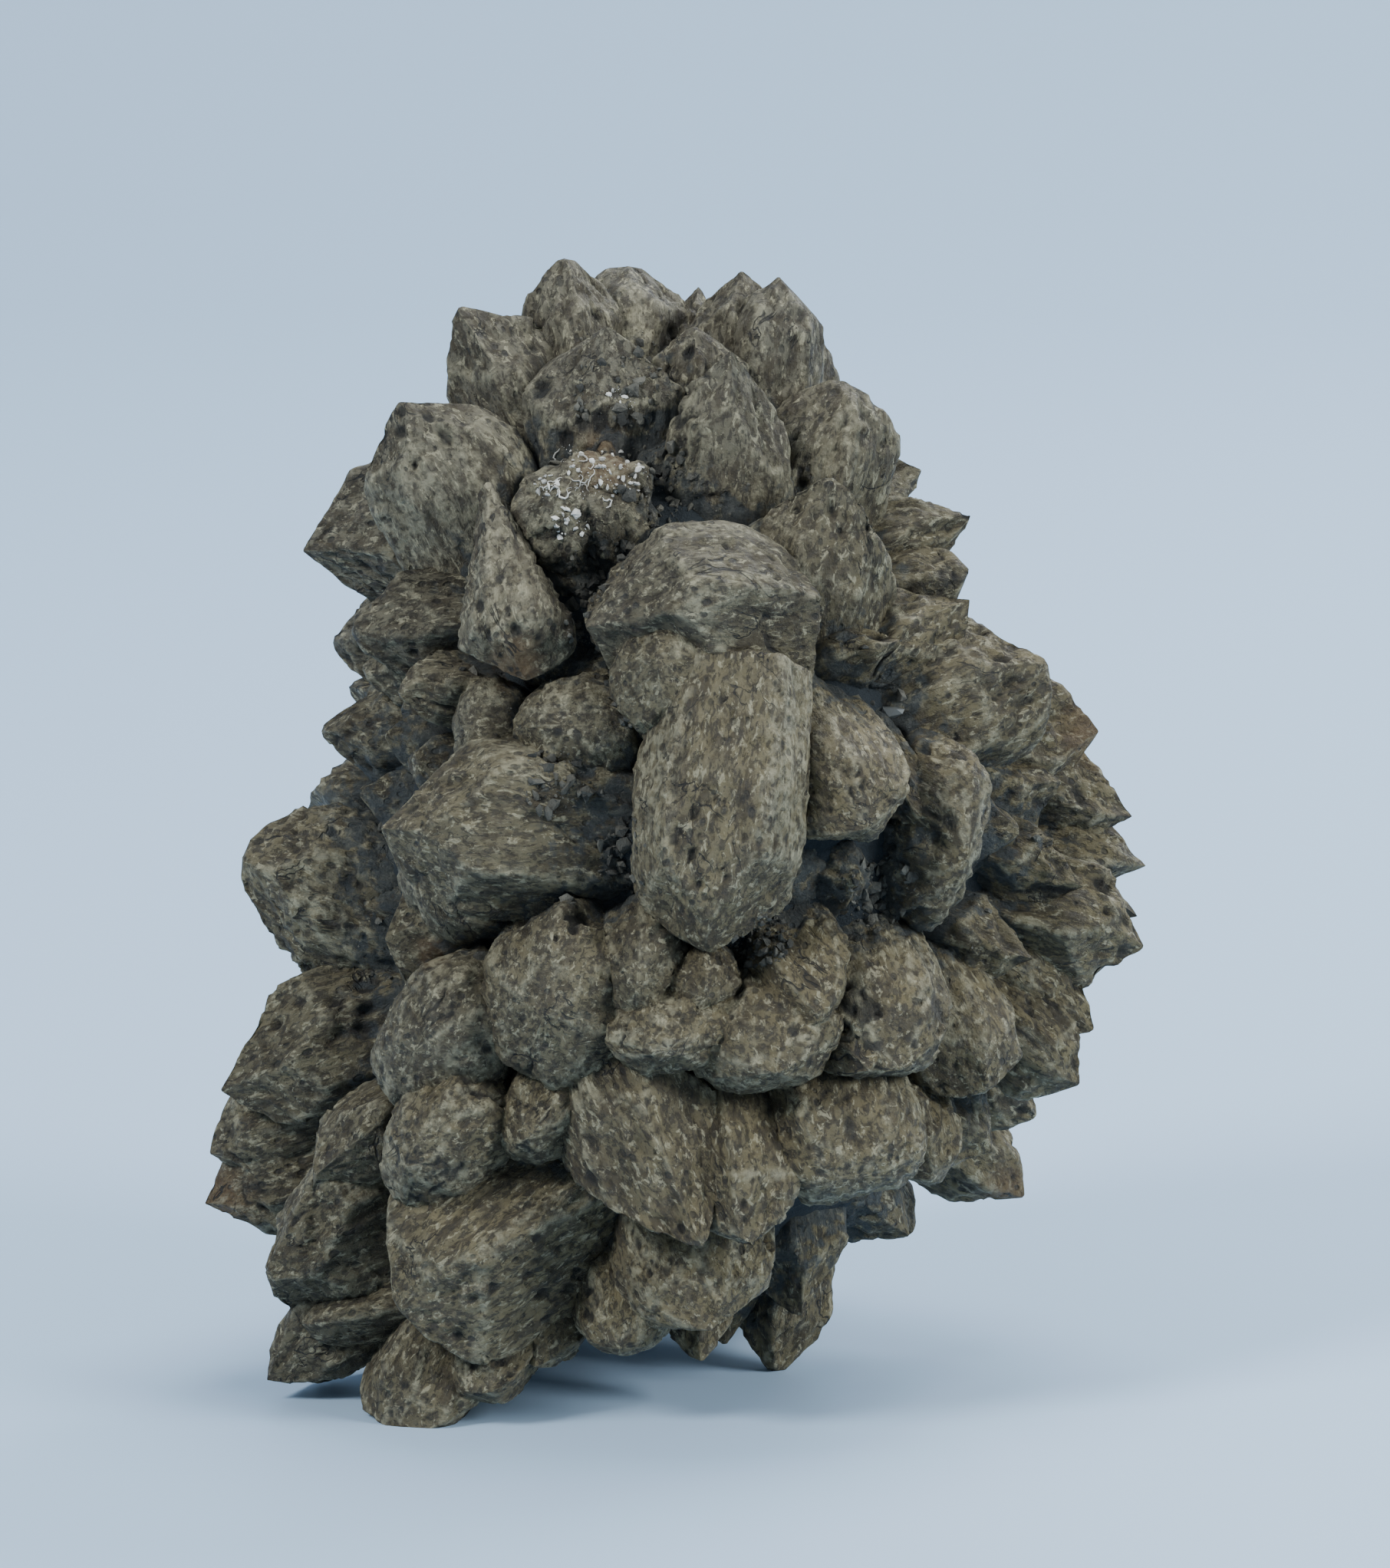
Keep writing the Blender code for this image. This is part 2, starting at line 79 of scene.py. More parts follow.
CROWN = (
    Crystal((-13.2, 140.4, 4), (-11.5, 117, 2), 13.0, 11.0, 5, 3.0),
    Crystal((-5.6, 139.8, -5), (-5.5, 116, -1), 14.0, 11.0, 0, 4.6),
    Crystal((-8.5, 131.4, 15), (-8, 108, 6), 18.0, 14.0, 0, 4.6),
    Crystal((2.8, 136.4, -5), (1, 114, -2), 11.0, 9.0, -10, 3.2),
    Crystal((8.0, 138.0, 3), (5.5, 116, 2), 12.0, 10.0, -10, 4.2),
    Crystal((13.0, 137.6, 6), (10, 115, 4), 11.5, 10.0, -8, 4.2),
    Crystal((16.6, 131.2, -2), (12, 110, 0), 9.0, 9.0, -10, 3.6),
    Crystal((3.0, 131.5, 12), (2, 110, 6), 11.0, 10.0, 0, 4.0),
)

UPPER_LEFT = (
    Crystal((-26.4, 133.8, 8), (-13, 108, 4), 16.5, 11.0, 28, 2.4, 2.4),
    Crystal((-27.3, 126.2, -10), (-12, 104, -6), 8.5, 7.5, 55, 2.8),
    Crystal((-32.8, 122.0, 16), (-20, 98, 9), 18.0, 11.0, 22, 3.6, 0.8),
    Crystal((-44.4, 104.5, 6), (-22, 104, 4), 18.0, 13.0, 85, 3.2, 1.2),
    Crystal((-41.8, 93.6, -3), (-22, 94, -2), 10.5, 10.0, 90, 4.5),
    Crystal((-38.9, 94.4, 20), (-18, 97, 12), 14.0, 11.0, 95, 3.4),
    Crystal((-37.9, 90.0, 13), (-20, 90, 8), 8.0, 9.0, 90, 3.4),
    Crystal((-17.4, 88.8, 31), (-22.2, 112.5, 20), 16.5, 15.0, 0, 6.5),
    Crystal((-11.2, 112.0, 28), (-8.5, 104, 6), 16.0, 14.0, 20, 5.5),
)

UPPER_RIGHT = (
    Crystal((6.6, 128.0, 21), (5.5, 98, 10), 14.0, 10.0, -3, 2.8),
    Crystal((20.4, 125.7, 11), (13.5, 98, 6), 15.5, 11.0, -14, 4.2),
    Crystal((19.0, 113.8, 25), (14.5, 86, 12), 18.0, 12.0, -12, 3.0),
    Crystal((29.6, 114.4, -6), (12, 106, -3), 11.0, 9.0, -70, 4.2),
    Crystal((35.4, 108.7, 6), (14, 102, 3), 9.5, 9.0, 108, 2.6),
    Crystal((35.5, 101.6, 9), (15, 98, 5), 8.5, 9.0, 100, 4.5),
    Crystal((35.0, 98.6, 17), (14, 84, 13), 15.5, 11.0, 125, 3.4),
    Crystal((27.0, 93.8, 25), (12, 89, 16), 8.5, 7.5, 100, 2.4),
    Crystal((35.0, 94.3, -6), (18, 88, -3), 8.0, 7.5, 90, 4.0),
)

RIGHT = (
    Crystal((45.0, 91.0, 15), (18, 80, 12), 17.5, 13.0, 112, 4.2),
    Crystal((46.8, 87.3, -4), (26, 82, -3), 11.0, 10.0, 100, 3.6),
    Crystal((50.6, 83.0, 6), (26, 79, 4), 16.0, 13.0, 98, 4.0),
    Crystal((54.6, 72.8, 4), (30, 80, 2), 13.0, 11.0, 72, 2.8),
    Crystal((53.3, 70.4, 3), (40, 74, 2), 5.0, 5.5, 80, 2.4),
    Crystal((56.3, 66.9, 2), (32, 72, 1), 13.0, 11.0, 78, 2.8),
    Crystal((55.5, 60.8, -4), (34, 68, -2), 10.5, 10.0, 60, 2.8),
    Crystal((55.8, 57.3, 10), (32, 63, 8), 16.0, 13.0, 75, 4.2),
    Crystal((48.5, 64.5, 16), (30, 71, 10), 9.5, 9.0, 70, 2.6),
    Crystal((50.1, 47.2, 11), (32, 58, 8), 11.5, 10.0, 60, 2.6),
    Crystal((48.0, 41.0, 15), (32, 54, 10), 11.5, 10.0, 52, 4.4),
    Crystal((34.5, 68.0, 33), (24, 74, 14), 20.5, 10.0, 78, 4.5),
    Crystal((22.5, 71.5, 41), (13, 86, 18), 15.5, 13.0, 25, 4.8),
    Crystal((30.3, 71.2, 31), (18, 86, 16), 9.5, 9.0, 40, 2.2),
    Crystal((21.8, 65.6, 33), (12, 66, 16), 12.0, 11.0, 80, 2.8),
    Crystal((26.5, 62.3, 27), (20, 60, 14), 7.5, 6.5, 80, 4.0),
    Crystal((46.0, 77.0, 11), (26, 76, 7), 13.5, 11.0, 95, 3.6),
)

CENTRE = (
    Crystal((-10.5, 95.0, 37), (14, 95.5, 22), 18.0, 21.0, 78, 4.4, 2.4),
    Crystal((-2.5, 90.5, 42), (1, 86, 20), 13.0, 11.5, 70, 4.5),
    Crystal((3.4, 56.4, 42), (7.6, 92.0, 31), 18.5, 20.0, 8, 4.2),
    Crystal((-13.0, 84.0, 36), (-7, 80, 14), 14.5, 13.0, 0, 6.0),
)

LEFT = (
    Crystal((-42.9, 83.0, 8), (-18, 82, 6), 12.5, 12.0, 92, 3.6),
    Crystal((-32.8, 87.8, 26), (-19, 88, 15), 8.5, 9.0, 95, 3.2),
    Crystal((-24.5, 83.5, 31), (-16, 82, 14), 12.0, 9.0, 95, 5.0),
    Crystal((-39.8, 77.2, -2), (-20, 70, -1), 10.5, 10.0, 105, 4.2),
    Crystal((-35.0, 78.6, 7), (-20, 72, 5), 8.0, 7.5, 110, 2.8),
    Crystal((-52.9, 68.3, 10), (-22, 58, 6), 18.5, 14.5, 108, 3.4),
    Crystal((-34.5, 71.5, 34), (-5, 70.5, 24), 20.0, 20.0, 95, 4.4),
    Crystal((-30.5, 65.5, 33), (-18, 62, 14), 14.5, 11.0, -40, 4.0),
    Crystal((-34.2, 58.5, 28), (-18, 60, 14), 14.5, 11.0, 85, 4.5),
    Crystal((-33.5, 68.0, 20), (-14, 67, 9), 14.0, 13.0, 90, 4.2),
    Crystal((-45.4, 55.0, 0), (-26, 52, 0), 9.5, 9.0, 95, 3.6),
)

LOWER_LEFT = (
    Crystal((-54.0, 40.3, 12), (-24, 51, 8), 18.0, 13.0, 70, 3.2, 0.6),
    Crystal((-31.0, 45.0, 38), (-20, 50, 16), 18.5, 15.5, 60, 5.0),
    Crystal((-54.2, 37.2, 4), (-34, 39, 4), 6.0, 7.5, 90, 3.2),
    Crystal((-55.5, 32.6, 6), (-30, 40, 4), 13.0, 10.0, 80, 4.2),
    Crystal((-56.2, 26.6, 4), (-30, 35, 3), 12.0, 10.0, 75, 3.6),
    Crystal((-43.0, 30.0, 27), (-26, 40, 14), 16.0, 12.0, 45, 3.8),
    Crystal((-31.5, 32.0, 40), (-20, 40, 18), 17.0, 13.0, 60, 4.5),
    Crystal((-17.5, 35.0, 39), (-12, 44, 18), 12.5, 11.0, 50, 4.0),
    Crystal((-49.0, 17.8, 24), (-27, 30, 10), 19.0, 14.5, 60, 4.2),
    Crystal((-33.0, 14.0, 36), (-5, 34, 16), 22.5, 19.0, 125, 4.8),
    Crystal((-45.0, 12.2, 21), (-20, 18, 14), 8.5, 10.0, 80, 2.8),
    Crystal((-48.4, 6.0, 17), (-28, 22, 8), 16.0, 12.0, 50, 4.2),
    Crystal((-32.5, -0.4, 29), (-22, 20, 10), 14.5, 13.0, 25, 5.0),
    Crystal((-24.0, 4.0, 31), (-16, 20, 14), 12.5, 11.0, 25, 4.2),
    Crystal((-16.5, 8.0, 29), (-10, 22, 12), 9.5, 9.0, 15, 3.2),
)

LOWER_CENTRE = (
    Crystal((-15.5, 49.5, 44), (-10, 56, 18), 20.5, 17.5, 80, 5.5),
    Crystal((-4.5, 52.5, 44), (-3, 60, 20), 13.5, 10.5, 85, 4.8),
    Crystal((3.5, 51.5, 44), (2, 58, 22), 10.0, 9.0, 80, 4.2),
    Crystal((-0.5, 45.5, 47), (-1, 52, 20), 14.5, 10.5, 5, 4.2),
    Crystal((17.6, 49.0, 44), (8, 63, 20), 14.0, 10.0, 35, 3.0),
    Crystal((12.0, 43.0, 46), (8, 54, 20), 17.0, 12.0, 10, 4.2),
    Crystal((22.8, 43.2, 41), (16, 52, 22), 9.5, 7.5, 20, 3.2),
    Crystal((26.5, 43.5, 40), (20, 60, 18), 16.0, 13.0, 5, 5.5),
    Crystal((3.4, 22.0, 46), (-9, 46, 29), 18.5, 13.0, 30, 2.0),
    Crystal((8.2, 22.6, 45), (6, 46, 24), 15.0, 13.0, 2, 2.8),
    Crystal((4.5, 12.6, 37), (-1, 34, 16), 18.5, 13.0, 12, 3.8),
    Crystal((-6.5, 9.6, 33), (-5, 28, 14), 12.0, 10.0, 0, 4.2),
    Crystal((3.0, 8.0, 21), (2, 24, 10), 8.0, 7.5, 0, 2.8),
)

LOWER_RIGHT = (
    Crystal((37.0, 40.0, 30), (26, 58, 14), 14.0, 11.0, 15, 4.2),
    Crystal((42.5, 56.0, 23), (28, 61, 14), 10.5, 10.0, 70, 2.8),
    Crystal((21.5, 30.0, 42), (16, 45, 20), 18.0, 15.5, 0, 5.5),
    Crystal((31.0, 30.0, 32), (24, 46, 16), 10.0, 10.0, 10, 5.0),
    Crystal((42.0, 27.0, -12), (20, 44, -6), 12.0, 11.0, 40, 3.6),
    Crystal((44.5, 46.5, 0), (24, 52, 0), 13.0, 12.0, 60, 3.8),
    Crystal((38.0, 33.0, 7), (20, 45, 4), 13.5, 12.5, 35, 4.0),
    Crystal((43.4, 36.8, -4), (26, 48, -3), 9.5, 9.0, 50, 3.8),
    Crystal((29.0, 22.2, -14), (14, 38, -8), 10.5, 10.0, 30, 3.6),
    Crystal((22.5, 21.2, -6), (14, 38, -4), 10.5, 10.0, 20, 3.6),
    Crystal((15.0, 13.0, 13), (13, 34, 6), 12.0, 11.0, 0, 3.0),
    Crystal((12.0, 5.4, 2), (13, 32, 0), 12.0, 11.0, 0, 3.4),
)

UNDERSIDE = (
    Crystal((9.0, 11.4, -31), (5, 38, -10), 14.5, 13.0, 0, 4.4),
    Crystal((-27.0, 10.2, -27), (-15, 36, -10), 16.0, 13.0, 0, 4.4),
    Crystal((-9.0, 10.0, 12), (-8, 30, 6), 14.5, 13.0, 30, 3.0),
    Crystal((-20.0, 10.5, 2), (-13, 30, 2), 14.5, 12.0, 70, 3.4),
    Crystal((-2.0, 11.8, -9), (-2, 32, -4), 16.0, 13.0, 10, 3.0),
    Crystal((-12.0, 13.4, -21), (-8, 34, -9), 14.5, 13.0, 50, 3.2),
    Crystal((6.0, 14.0, -18), (3, 32, -8), 12.5, 11.5, 20, 3.2),
    Crystal((-24.0, 12.8, -12), (-15, 32, -6), 12.5, 11.5, 60, 3.4),
    Crystal((-14.5, 11.0, -8), (-10, 30, -4), 12.0, 11.5, 0, 3.0),
    Crystal((6.0, 9.8, 6), (4, 30, 4), 12.0, 11.5, 30, 3.2),
    Crystal((-3.5, 16.4, -27), (-4, 34, -12), 13.0, 11.5, 40, 3.4),
)

OUTLINE = np.array(
    [
        (6.0, -14.0, 22.0),
        (20.0, -9.0, 38.0),
        (35.0, -4.0, 47.0),
        (50.0, 1.0, 49.0),
        (70.0, 1.5, 53.0),
        (90.0, 1.0, 44.0),
        (110.0, -4.0, 35.0),
        (125.0, -4.0, 24.0),
        (140.0, -5.0, 8.0),
    ]
)

BACK_COUNT = 35
BACK_LOW, BACK_HIGH = 21.0, 131.0
BACK_FROM, BACK_TO = 88.0, 268.0
GOLDEN_SHARE = 0.618034
BACK_REACH = 0.92
BACK_WIDE, BACK_THICK = 24.0, 18.0
ROOT_REACH = 0.38
GROWTH_CENTRE = 72.0
GROWTH_TILT = 0.36


def outline_at(height):
    """The middle and the half width of the tips' outline at heights of the front view."""
    low_to_high = OUTLINE[:, 0]
    return np.interp(height, low_to_high, OUTLINE[:, 1]), np.interp(height, low_to_high, OUTLINE[:, 2])


def wide_way(crystal):
    turn = math.radians(crystal.turn)
    return np.array([math.cos(turn), math.sin(turn), 0.0])


def up_a_spiral(number, count, low, high, start, end):
    """The height of one of count places on a spiral, and how far around the cluster it lies."""
    height = low + (high - low) * (number + 0.5) / count
    return height, math.radians(start + (end - start) * (number * GOLDEN_SHARE % 1.0))


def out_from_middle(reach, around):
    """How far to the right and toward the viewer a place lies; around is 0 toward the viewer."""
    return reach * math.sin(around), BODY_DEPTH * reach * math.cos(around)


def rolled_way(around, degrees):
    """A direction along the skin of the cluster, turned up from level."""
    level = np.array([math.cos(around), 0.0, -math.sin(around)])
    roll = math.radians(degrees)
    return level * math.cos(roll) + np.array([0, 1, 0]) * math.sin(roll)


def back_crystals():
    """The far side, as (Crystal, direction of its wide side): one after another up a spiral."""
    grown = []
    for number in range(BACK_COUNT):
        height, around = up_a_spiral(number, BACK_COUNT, BACK_LOW, BACK_HIGH, BACK_FROM, BACK_TO)
        middle, half = outline_at(height)
        reach = half * (BACK_REACH + 0.05 * math.sin(number * 2.1))
        sideways, forward = out_from_middle(reach, around)
        size = 0.72 + 0.28 * half / 50.0
        crystal = Crystal(
            tip=(middle + sideways, height, forward),
            root=(
                middle + ROOT_REACH * sideways,
                height + (GROWTH_CENTRE - height) * GROWTH_TILT,
                ROOT_REACH * forward,
            ),
            wide=size * (BACK_WIDE + 3.5 * math.sin(number * 2.4)),
            thick=size * (BACK_THICK + 2.5 * math.cos(number * 1.7)),
            turn=0.0,
            point=3.6 + 1.2 * math.sin(number * 3.3),
        )
        grown.append((crystal, rolled_way(around, 25.0 + number * 67.0)))
    return grown


VALLEY_COUNT = 52
VALLEY_LOW, VALLEY_HIGH = 20.0, 129.0
VALLEY_FROM, VALLEY_TO = -92.0, 92.0
VALLEY_INSET = 8.5
VALLEY_ROOT = 0.5
VALLEY_TILT = 0.3

# Gaps that stay open, each as right, up and radius in the front view

CLAY_GAPS = (
    (-19, 84, 7), (-4.5, 74, 9), (-10, 101, 7), (25, 66, 8), (3, 56.5, 6), (-6, 124, 7), (-3, 110, 7),
)


LEFT_VALLEY = (
    Crystal((-38.0, 75.8, 15), (-18, 72, 6), 10.5, 11.0, 95, 3.2),
    Crystal((-31.5, 79.5, 24), (-16, 76, 10), 9.5, 10.0, 60, 3.4),
    Crystal((-34.5, 82.5, 16), (-18, 80, 8), 9.0, 9.0, 90, 3.0),
    Crystal((-41.0, 62.0, 14), (-22, 60, 6), 11.0, 11.0, 80, 3.4),
    Crystal((-16.0, 92.5, 27), (-10, 90, 12), 9.0, 10.0, 30, 3.6),
)


def short_crystal(tip, root, wide, thick, point, number):
    """A crystal of about the given size, in which each number differs a little from the next."""
    return Crystal(
        tip=tip,
        root=root,
        wide=wide + 3.0 * math.sin(number * 2.4),
        thick=thick + 2.0 * math.cos(number * 1.7),
        turn=0.0,
        point=point + math.sin(number * 3.3),
    )


def valley_crystals():
    """Short crystals on the viewer's side that stand between the large ones, clear of the open gaps."""
    grown = []
    for number in range(VALLEY_COUNT):
        height, around = up_a_spiral(
            number, VALLEY_COUNT, VALLEY_LOW, VALLEY_HIGH, VALLEY_FROM, VALLEY_TO
        )
        middle, half = outline_at(height)
        reach = half - VALLEY_INSET + 1.5 * math.sin(number * 1.9)
        sideways, forward = out_from_middle(reach, around)
        if any(math.hypot(middle + sideways - x, height - z) < size for x, z, size in CLAY_GAPS):
            continue
        root_up = height + (GROWTH_CENTRE - height) * VALLEY_TILT
        root = (middle + VALLEY_ROOT * sideways, root_up, VALLEY_ROOT * forward)
        tip = (middle + sideways, height, forward)
        crystal = short_crystal(tip, root, 13.5, 11.5, 3.4, number)
        grown.append((crystal, rolled_way(around, 40.0 + number * 71.0)))
    return grown + [(crystal, wide_way(crystal)) for crystal in LEFT_VALLEY]


FILL_COUNT = 60
FILL_INSET = 6.5
FILL_ROOT = 0.45
FILL_LOW, FILL_HIGH, FILL_STEP = 22.0, 130.0, 4.0
FILL_FROM, FILL_TO, FILL_TURN = 76, 288, 8


def far_side_spots():
    """Places spread over the far side, a little inside the tips, with their direction from the middle."""
    spots = []
    for height in np.arange(FILL_LOW, FILL_HIGH, FILL_STEP):
        middle, half = outline_at(height)
        reach = half - FILL_INSET
        for degrees in range(FILL_FROM, FILL_TO, FILL_TURN):
            around = math.radians(degrees)
            sideways, forward = out_from_middle(reach, around)
            spots.append((np.array([middle + sideways, height, forward]), around))
    return spots


def far_valley_crystals(tips):
    """Short crystals on the far side, one after another where the gap between the tips is widest."""
    spots = far_side_spots()
    places = np.array([place for place, _ in spots])
    gap = np.min([np.linalg.norm(places - tip, axis=1) for tip in np.array(tips, float)], axis=0)
    grown = []
    for number in range(FILL_COUNT):
        place, around = spots[int(np.argmax(gap))]
        gap = np.minimum(gap, np.linalg.norm(places - place, axis=1))
        right, up, forward = place
        middle, _ = outline_at(up)
        root_up = up + (GROWTH_CENTRE - up) * VALLEY_TILT
        root = (middle + FILL_ROOT * (right - middle), root_up, FILL_ROOT * forward)
        crystal = short_crystal(tuple(place), root, 18.0, 14.5, 3.6, number)
        grown.append((crystal, rolled_way(around, 30.0 + number * 73.0)))
    return grown


# Roughness of rock, as noise that repeats the same on every run


def lattice(cells, salt):
    """A repeatable value from 0 to 1 for each whole-number cell."""
    x, y, z = cells[..., 0], cells[..., 1], cells[..., 2]
    mixed = (x * 374761393 + y * 668265263 + z * 2147483647 + salt * 1274126177) & 0x7FFFFFFF
    mixed = ((mixed ^ (mixed >> 13)) * 1103515245 + 12345) & 0x7FFFFFFF
    mixed = (mixed ^ (mixed >> 16)) * 69069 & 0x7FFFFFFF
    return (mixed >> 8).astype(np.float64) / float(0x7FFFFF)


def smooth_noise(points, salt):
    """Soft lumps one unit across, from -1 to 1."""
    cell = np.floor(points).astype(np.int64)
    part = points - cell
    ease = part * part * (3 - 2 * part)
    total = 0.0
    for dx in (0, 1):
        for dy in (0, 1):
            for dz in (0, 1):
                weight = np.abs(1 - dx - ease[..., 0]) * np.abs(1 - dy - ease[..., 1])
                weight = weight * np.abs(1 - dz - ease[..., 2])
                total = total + weight * lattice(cell + np.array([dx, dy, dz]), salt)
    return total * 2 - 1


def layered_noise(points, salt, layers):
    total, share = 0.0, 1.0
    for layer in range(layers):
        total = total + share * smooth_noise(points * 2.03**layer, salt + 31 * layer)
        share *= 0.5
    return total


def nearest_seed(points, salt):
    """The nearest of one scattered seed per cell: how far it is, where it lies and its cell."""
    cell = np.floor(points).astype(np.int64)
    best = np.full(points.shape[:-1], 9.0)
    offset = np.zeros(points.shape)
    home = np.zeros(points.shape, dtype=np.int64)
    for dx in (-1, 0, 1):
        for dy in (-1, 0, 1):
            for dz in (-1, 0, 1):
                near = cell + np.array([dx, dy, dz])
                seed = near + np.stack([lattice(near, salt + k) for k in range(3)], axis=-1)
                away = points - seed
                far = np.linalg.norm(away, axis=-1)
                closer = far < best
                best = np.where(closer, far, best)
                offset[closer] = away[closer]
                home[closer] = near[closer]
    return best, offset, home


def soft_step(low, high, value):
    share = np.clip((value - low) / (high - low), 0, 1)
    return share * share * (3 - 2 * share)


def soft_least(values, sharpness):
    """The least of several positive values, rounded off where two of them meet."""
    return sum(np.maximum(value, 1e-4) ** -sharpness for value in values) ** (-1 / sharpness)


# One crystal's surface

ROOT_SHARE = 0.86
BELLY_AT = 0.48
SMALL_WIDE = 11.0
EDGE_SHARPNESS = 60.0
OVAL_GIRTH = 1.55
RINGED_TIP = (-17.4, 88.8, 31)
RINGED_MM = 1.7
RINGED_ROOT = 0.12
ROUGH_TIP = (-11.2, 112.0, 28)
ROUGH_RELIEF = 1.9
COARSE_PITS = 1.9
PLATED_FROM, PLATED_MORE = 18, 0.6
PITTED_TIPS = ((-32.8, 122.0, 16), (-26.4, 133.8, 8), (6.6, 128.0, 21), (-11.2, 112.0, 28))

# Rust, each spot as right, up and radius in the front view

RUST_SPOTS = ((-56, 26, 8), (50, 83, 6), (41, 26, 7), (-28.5, 57, 2.6), (-8.5, 115, 5), (-19, 91, 4.5))


def profile(share, point):
    """Wide and thick side at places along a crystal, as shares of the widest."""
    grown = ROOT_SHARE + (1 - ROOT_SHARE) * np.sin(np.minimum(share / BELLY_AT, 1) * math.pi / 2)
    past = np.clip((share - BELLY_AT) / (1 - BELLY_AT), 0, 1)
    root_end = np.minimum(share / 0.05, 1) ** 0.5
    return grown * (1 - past**point) * root_end, grown * (1 - past ** (0.35 * point + 1.5)) * root_end


def own(number, k, salt):
    """A repeatable value from 0 to 1 that belongs to one crystal."""
    return float(lattice(np.array([number, k, salt]), 11))


def frontal(crystal):
    """1 for a crystal that points straight at the viewer, 0 for one seen from its side."""
    run = np.subtract(crystal.tip, crystal.root)
    return float(soft_step(0.45, 0.85, run[2] / np.linalg.norm(run)))


def long_faces(angle, crystal, number, share):
    """How far out a crystal's long faces lie in each direction, as shares of its half width."""
    rhombic_share = 0.65 - 0.5 * soft_step(14, 19, crystal.wide) - 0.3 * frontal(crystal)
    count = 4 if crystal.wide < SMALL_WIDE or own(number, 0, 13) < rhombic_share else 6
    reaches = []
    for k in range(count):
        facing = 2 * math.pi * (k + 0.5) / count + 0.45 * (own(number, k, 1) - 0.5) + 0.12 * share
        slant = 1 + 0.5 * (own(number, k, 12) - 0.5) * (share - 0.5)
        full = 1.06 + 0.06 * frontal(crystal)
        depth = full * math.cos(math.pi / count) * (1.0 + 0.22 * own(number, k, 2)) * slant
        reaches.append(depth / np.maximum(np.cos(angle - facing), 0.1))
    return reaches + [np.full_like(angle, 1.12)]


def tip_faces(angle, crystal, number, from_tip):
    """How far out the faces that close the tip lie, as shares of the half width."""
    reaches = []
    for k in range(4):
        facing = math.pi * (k + 0.5) / 2 + 0.9 * (own(number, k, 3) - 0.5)
        slope = min(crystal.wide, 1.25 * crystal.thick) * (2.5 / crystal.point - 0.06)
        slope = slope * (0.75 + 0.5 * own(number, k, 4)) * (1 - 0.55 * frontal(crystal))
        reaches.append(from_tip / slope / np.maximum(np.cos(angle - facing), 0.1))
    return reaches


def relief(grain, number, lined, coarse, ringed):
    """Growth lines, chips, pits and cracks in mm, and how deep each point lies in them."""
    place = grain + np.array([number * 17.3, number * 5.1, number * 9.7])
    wander = layered_noise(place / 9.0, 101, 2) * 0.35
    swirl = place + 1.4 * np.stack([smooth_noise(place / 5.0, 110 + k) for k in range(3)], axis=-1)
    lines = 1 - np.abs(layered_noise(swirl / [1.7, 1.7, 16.0], 102, 2))
    _, offset, home = nearest_seed(swirl / [2.8, 2.8, 7.0], 103)
    tilt = np.stack([lattice(home, 120 + k) - 0.5 for k in range(3)], axis=-1)
    chips = (offset * tilt).sum(axis=-1) * 2.1 + (lattice(home, 124) - 0.5) * 0.6
    pit_far, _, pit_home = nearest_seed(place / (coarse * np.array([1.8, 1.8, 2.6])), 104)
    pits = 1 - soft_step(0.55, 1.0, pit_far / (0.18 + 0.34 * lattice(pit_home, 125) ** 2))
    pits = pits * soft_step(-0.1, 0.4, smooth_noise(place / 7.0, 105))
    crack = 1 - soft_step(0.0, 0.05, np.abs(layered_noise(place / [8.0, 8.0, 13.0], 106, 3)))
    crack = crack * soft_step(0.05, 0.4, smooth_noise(place / 12.0, 107))
    fine = layered_noise(place / 1.2, 108, 2)
    height = wander + (0.24 + 0.52 * lined) * (lines - 0.7) + (0.48 - 0.18 * lined) * chips
    height = height - 0.55 * coarse**0.6 * pits - 0.6 * crack + 0.12 * fine
    if ringed:
        bend = grain[..., 2] + 0.35 * grain[..., 0] + 2.6 * smooth_noise(place / 4.0, 109)
        rings = np.abs(bend / RINGED_MM % 1.0 - 0.5) * 2
        strong = 0.15 + 0.3 * soft_step(-0.3, 0.4, smooth_noise(place / 6.0, 111))
        height = 0.75 * height + strong * (soft_step(0.1, 0.8, rings) - 0.6)
    # How deep each point lies in pits, cracks and the grooves between growth lines; the calcite material
    # darkens these with dirt and painted shade.
    hollow = np.clip(0.9 * pits + 1.0 * crack + 0.9 * (0.6 - lines) * lined, 0, 1)
    return height, hollow


